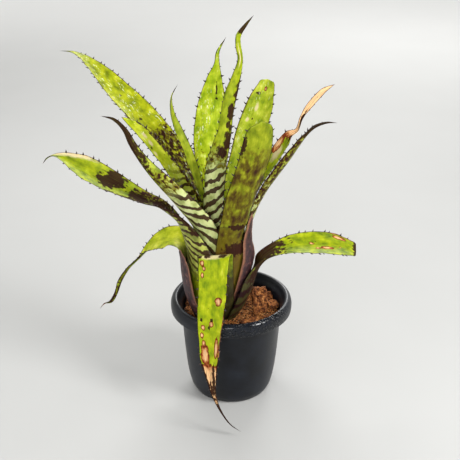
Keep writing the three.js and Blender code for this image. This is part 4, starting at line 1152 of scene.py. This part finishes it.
class BROMELIAD_OT_leaves(bpy.types.Operator):
    """Grows the fourteen living leaves, each with its spines and its own marked skin"""

    bl_idname = "bromeliad.leaves"
    bl_label = "Leaves"

    def execute(self, context):
        settings = context.scene.bromeliad_leaf
        horn = spine_material()
        for node, leaf in LEAVES.items():
            points, quads, triangles, fields, spine_line = leaf_arrays(node, leaf, settings)
            spines = spine_arrays(*spine_line, leaf, settings)
            count = len(points)
            picks = np.concatenate([np.zeros(len(quads)), np.ones(len(spines[1])),
                                    np.zeros(len(triangles)), np.ones(len(spines[2]))])  # fmt: skip
            for key in fields:
                fields[key] = np.concatenate([fields[key], np.zeros((len(spines[0]), 3))])
            skin = leaf_material(node + "_cuticle", leaf, settings)
            piece = make_piece(
                node + "_grown",
                np.concatenate([points, spines[0]]),
                np.concatenate([quads, spines[1] + count]),
                np.concatenate([triangles, spines[2] + count]),
                [skin, horn],
                picks,
                fields,
            )
            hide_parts(node)
        return {"FINISHED"}


class BROMELIAD_OT_dead_sheaths(bpy.types.Operator):
    """Makes the three papery sheaths whose blades are gone"""

    bl_idname = "bromeliad.dead_sheaths"
    bl_label = "Dead sheaths"

    def execute(self, context):
        settings = context.scene.bromeliad_leaf
        for node, sheath in DEAD.items():
            points, quads, triangles, fields, _ = leaf_arrays(node, sheath, settings)
            paper = dead_material(node + "_papery", sheath["seed"], settings)
            piece = make_piece(node + "_dried", points, quads, triangles, [paper], None, fields)
            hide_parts(node)
        return {"FINISHED"}


class BROMELIAD_OT_pot(bpy.types.Operator):
    """Turns the nursery pot with its rolled rim and drain holes"""

    bl_idname = "bromeliad.pot"
    bl_label = "Nursery pot"

    def execute(self, context):
        settings = context.scene.bromeliad_pot
        piece = make_piece("pot_moulded", *pot_arrays(settings), [pot_material(settings)], weld=True)
        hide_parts("pot")
        return {"FINISHED"}


class BROMELIAD_OT_husk(bpy.types.Operator):
    """Fills the pot with packed husk, crumbs and loose fibres"""

    bl_idname = "bromeliad.husk"
    bl_label = "Husk medium"

    def execute(self, context):
        settings = context.scene.bromeliad_husk
        browns = [(0.34, "#0D0603"), (0.48, "#2E170A"), (0.6, "#643814"), (0.74, "#A06A36")]
        packed = husk_material("packed_husk", browns, 260.0)
        piece = make_piece("husk_packed", *medium_arrays(settings), [packed])
        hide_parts("growing_medium")
        loose = [(0.34, "#2A1408"), (0.48, "#74401A"), (0.6, "#B06E34"), (0.72, "#DCA468")]
        crumb = husk_material("husk_crumb", loose, 420.0)
        crumbs = make_piece("husk_crumbs", *crumb_arrays(settings), [crumb])
        pale = [(0.3, "#8A4E26"), (0.5, "#BF7E44"), (0.75, "#E0B47C")]
        coir = husk_material("coir_fibre", pale, 300.0)
        fibres = make_piece("husk_fibres", *fibre_arrays(settings), [coir])
        return {"FINISHED"}


class BROMELIAD_OT_chips(bpy.types.Operator):
    """Tears the nine large husk chips to shape"""

    bl_idname = "bromeliad.chips"
    bl_label = "Husk chips"

    def execute(self, context):
        cork = [(0.32, "#170C06"), (0.44, "#57301A"), (0.56, "#90562A"), (0.7, "#CC985C")]
        skin = husk_material("torn_husk_chip", cork, 330.0)
        chips = sorted(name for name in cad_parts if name.startswith("husk_chip"))
        for seed, node in enumerate(chips):
            centre, axes, sizes = frame_chip(node)
            piece = make_piece(node + "_torn", *chunk(centre, axes, sizes, 401 + seed), [skin])
            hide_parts(node)
        return {"FINISHED"}


class BROMELIAD_OT_stem(bpy.types.Operator):
    """Gives the short woody stem its corky bark"""

    bl_idname = "bromeliad.stem"
    bl_label = "Stem base"

    def execute(self, context):
        bark = [(0.3, "#1E120C"), (0.5, "#4A2E1C"), (0.75, "#7A5636")]
        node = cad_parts["stem_base"]
        material = husk_material("stem_cork", bark, 300.0)
        node.data.materials.clear()
        node.data.materials.append(material)
        return {"FINISHED"}


def studio_paper(settings):
    """Matt pale grey paper, faintly uneven, lit through from behind far off, so that it is pale on every side."""
    material, tree = new_material("studio_paper")
    place = add(tree, "TexCoord", out="Object")
    tooth = add(tree, "TexNoise", {"Vector": place, "Scale": 6.0, "Detail": 2.0})
    tone = add(tree, "MapRange", {0: tooth, 3: 0.94, 4: 1.0})
    tone = add(tree, "CombineXYZ", {0: tone, 1: tone, 2: tone})
    tone = add(tree, "Mix", {0: 1.0, 6: settings.floor_colour, 7: tone}, out=2, data_type="RGBA",
               blend_type="MULTIPLY")  # fmt: skip
    reach = add(tree, "VectorMath", {0: place}, out="Value", operation="LENGTH")
    glow = add(tree, "MapRange", {0: reach, 1: 1.0, 2: 2.5, 3: 0.0, 4: 0.48}, interpolation_type="SMOOTHSTEP")
    shader = add(
        tree,
        "BsdfPrincipled",
        {"Base Color": tone, "Roughness": 0.9, "Emission Color": linear("#FAFAF8"), "Emission Strength": glow},
    )
    add(tree, "OutputMaterial", {0: shader})
    return material


class BROMELIAD_OT_stage(bpy.types.Operator):
    """Sets the pale paper cove, the soft lights and the camera"""

    bl_idname = "bromeliad.stage"
    bl_label = "Stage"

    def execute(self, context):
        scene = context.scene
        settings = scene.bromeliad_stage
        # the floor is one round sheet that curves up into a wall on every side
        run = smooth_run([(0.02, 0), (1.2, 0), (2.2, 0.0), (2.7, 0.2), (2.95, 0.8), (3.0, 2.4)], 10)
        sides = 96
        mesh = bpy.data.meshes.new("studio_cove")
        mesh.from_pydata(turned(run, sides).tolist(), [], grid_faces(len(run), sides).tolist())
        mesh.polygons.foreach_set("use_smooth", np.ones(len(mesh.polygons), bool))
        cove = bpy.data.objects.new("studio_cove", mesh)
        scene.collection.objects.link(cove)
        mesh.materials.append(studio_paper(settings))
        world = bpy.data.worlds.new("even_light")
        world.use_nodes = True
        back = world.node_tree.nodes["Background"]
        back.inputs["Color"].default_value = linear("#F2F4F6")
        back.inputs["Strength"].default_value = settings.sky
        scene.world = world
        lights = (
            ("key_softbox", (0.85, -0.5, 1.0), 0.5, settings.key_power),
            ("front_softbox", (-0.25, -1.15, 0.75), 0.7, settings.key_power * 0.52),
            ("back_softbox", (-0.35, 0.75, 1.15), 0.6, settings.key_power * 0.5),
            ("backdrop_softbox", (0.5, 1.7, 1.1), 0.9, settings.key_power * 1.35),
            ("fill_softbox", (-0.9, -0.8, 0.7), 0.9, settings.fill_power),
        )
        crown = (0.0, 0.0, 0.16)  # every light points here
        for name, place, size, power in lights:
            light = bpy.data.lights.new(name, "AREA")
            light.shape = "DISK"
            light.size = size
            light.energy = power
            lamp = bpy.data.objects.new(name, light)
            lamp.location = place
            aim = np.array(crown) - np.array(place)
            flat = math.hypot(aim[0], aim[1])
            lamp.rotation_euler = (math.atan2(flat, -aim[2]), 0, math.atan2(-aim[0], aim[1]))
            scene.collection.objects.link(lamp)
        view = bpy.data.cameras.new("studio_camera")
        view.sensor_width = 36.0
        view.lens = settings.lens
        camera = bpy.data.objects.new("studio_camera", view)
        camera.location = settings.camera_place
        camera.rotation_euler = (math.pi / 2 - settings.camera_tilt, 0, 0)
        scene.collection.objects.link(camera)
        scene.camera = camera
        scene.view_settings.view_transform = "Standard"
        return {"FINISHED"}


class BROMELIAD_PT_panel(bpy.types.Panel):
    """Lists the makers of the bromeliad's pieces and their settings"""

    bl_label = "Potted bromeliad"
    bl_idname = "BROMELIAD_PT_panel"
    bl_space_type = "VIEW_3D"
    bl_region_type = "UI"
    bl_category = "Bromeliad"

    def draw(self, context):
        for operator in OPERATORS:
            self.layout.operator(operator.bl_idname)
        for name in SETTINGS:
            box = self.layout.box()
            group = getattr(context.scene, name)
            for key in group.__annotations__:
                box.prop(group, key)


OPERATORS = (
    BROMELIAD_OT_stage,
    BROMELIAD_OT_pot,
    BROMELIAD_OT_husk,
    BROMELIAD_OT_chips,
    BROMELIAD_OT_stem,
    BROMELIAD_OT_dead_sheaths,
    BROMELIAD_OT_leaves,
)
SETTINGS = {
    "bromeliad_leaf": BromeliadLeafSettings,
    "bromeliad_pot": BromeliadPotSettings,
    "bromeliad_husk": BromeliadHuskSettings,
    "bromeliad_stage": BromeliadStageSettings,
}


def register():
    for group in SETTINGS.values():
        bpy.utils.register_class(group)
    for name, group in SETTINGS.items():
        setattr(bpy.types.Scene, name, bpy.props.PointerProperty(type=group))
    for operator in OPERATORS:
        bpy.utils.register_class(operator)
    bpy.utils.register_class(BROMELIAD_PT_panel)


def unregister():
    bpy.utils.unregister_class(BROMELIAD_PT_panel)
    for operator in reversed(OPERATORS):
        bpy.utils.unregister_class(operator)
    for name, group in SETTINGS.items():
        delattr(bpy.types.Scene, name)
        bpy.utils.unregister_class(group)


def main():
    """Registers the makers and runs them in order."""
    register()
    for operator in OPERATORS:
        family, name = operator.bl_idname.split(".")
        getattr(getattr(bpy.ops, family), name)()


if __name__ == "__main__":
    main()
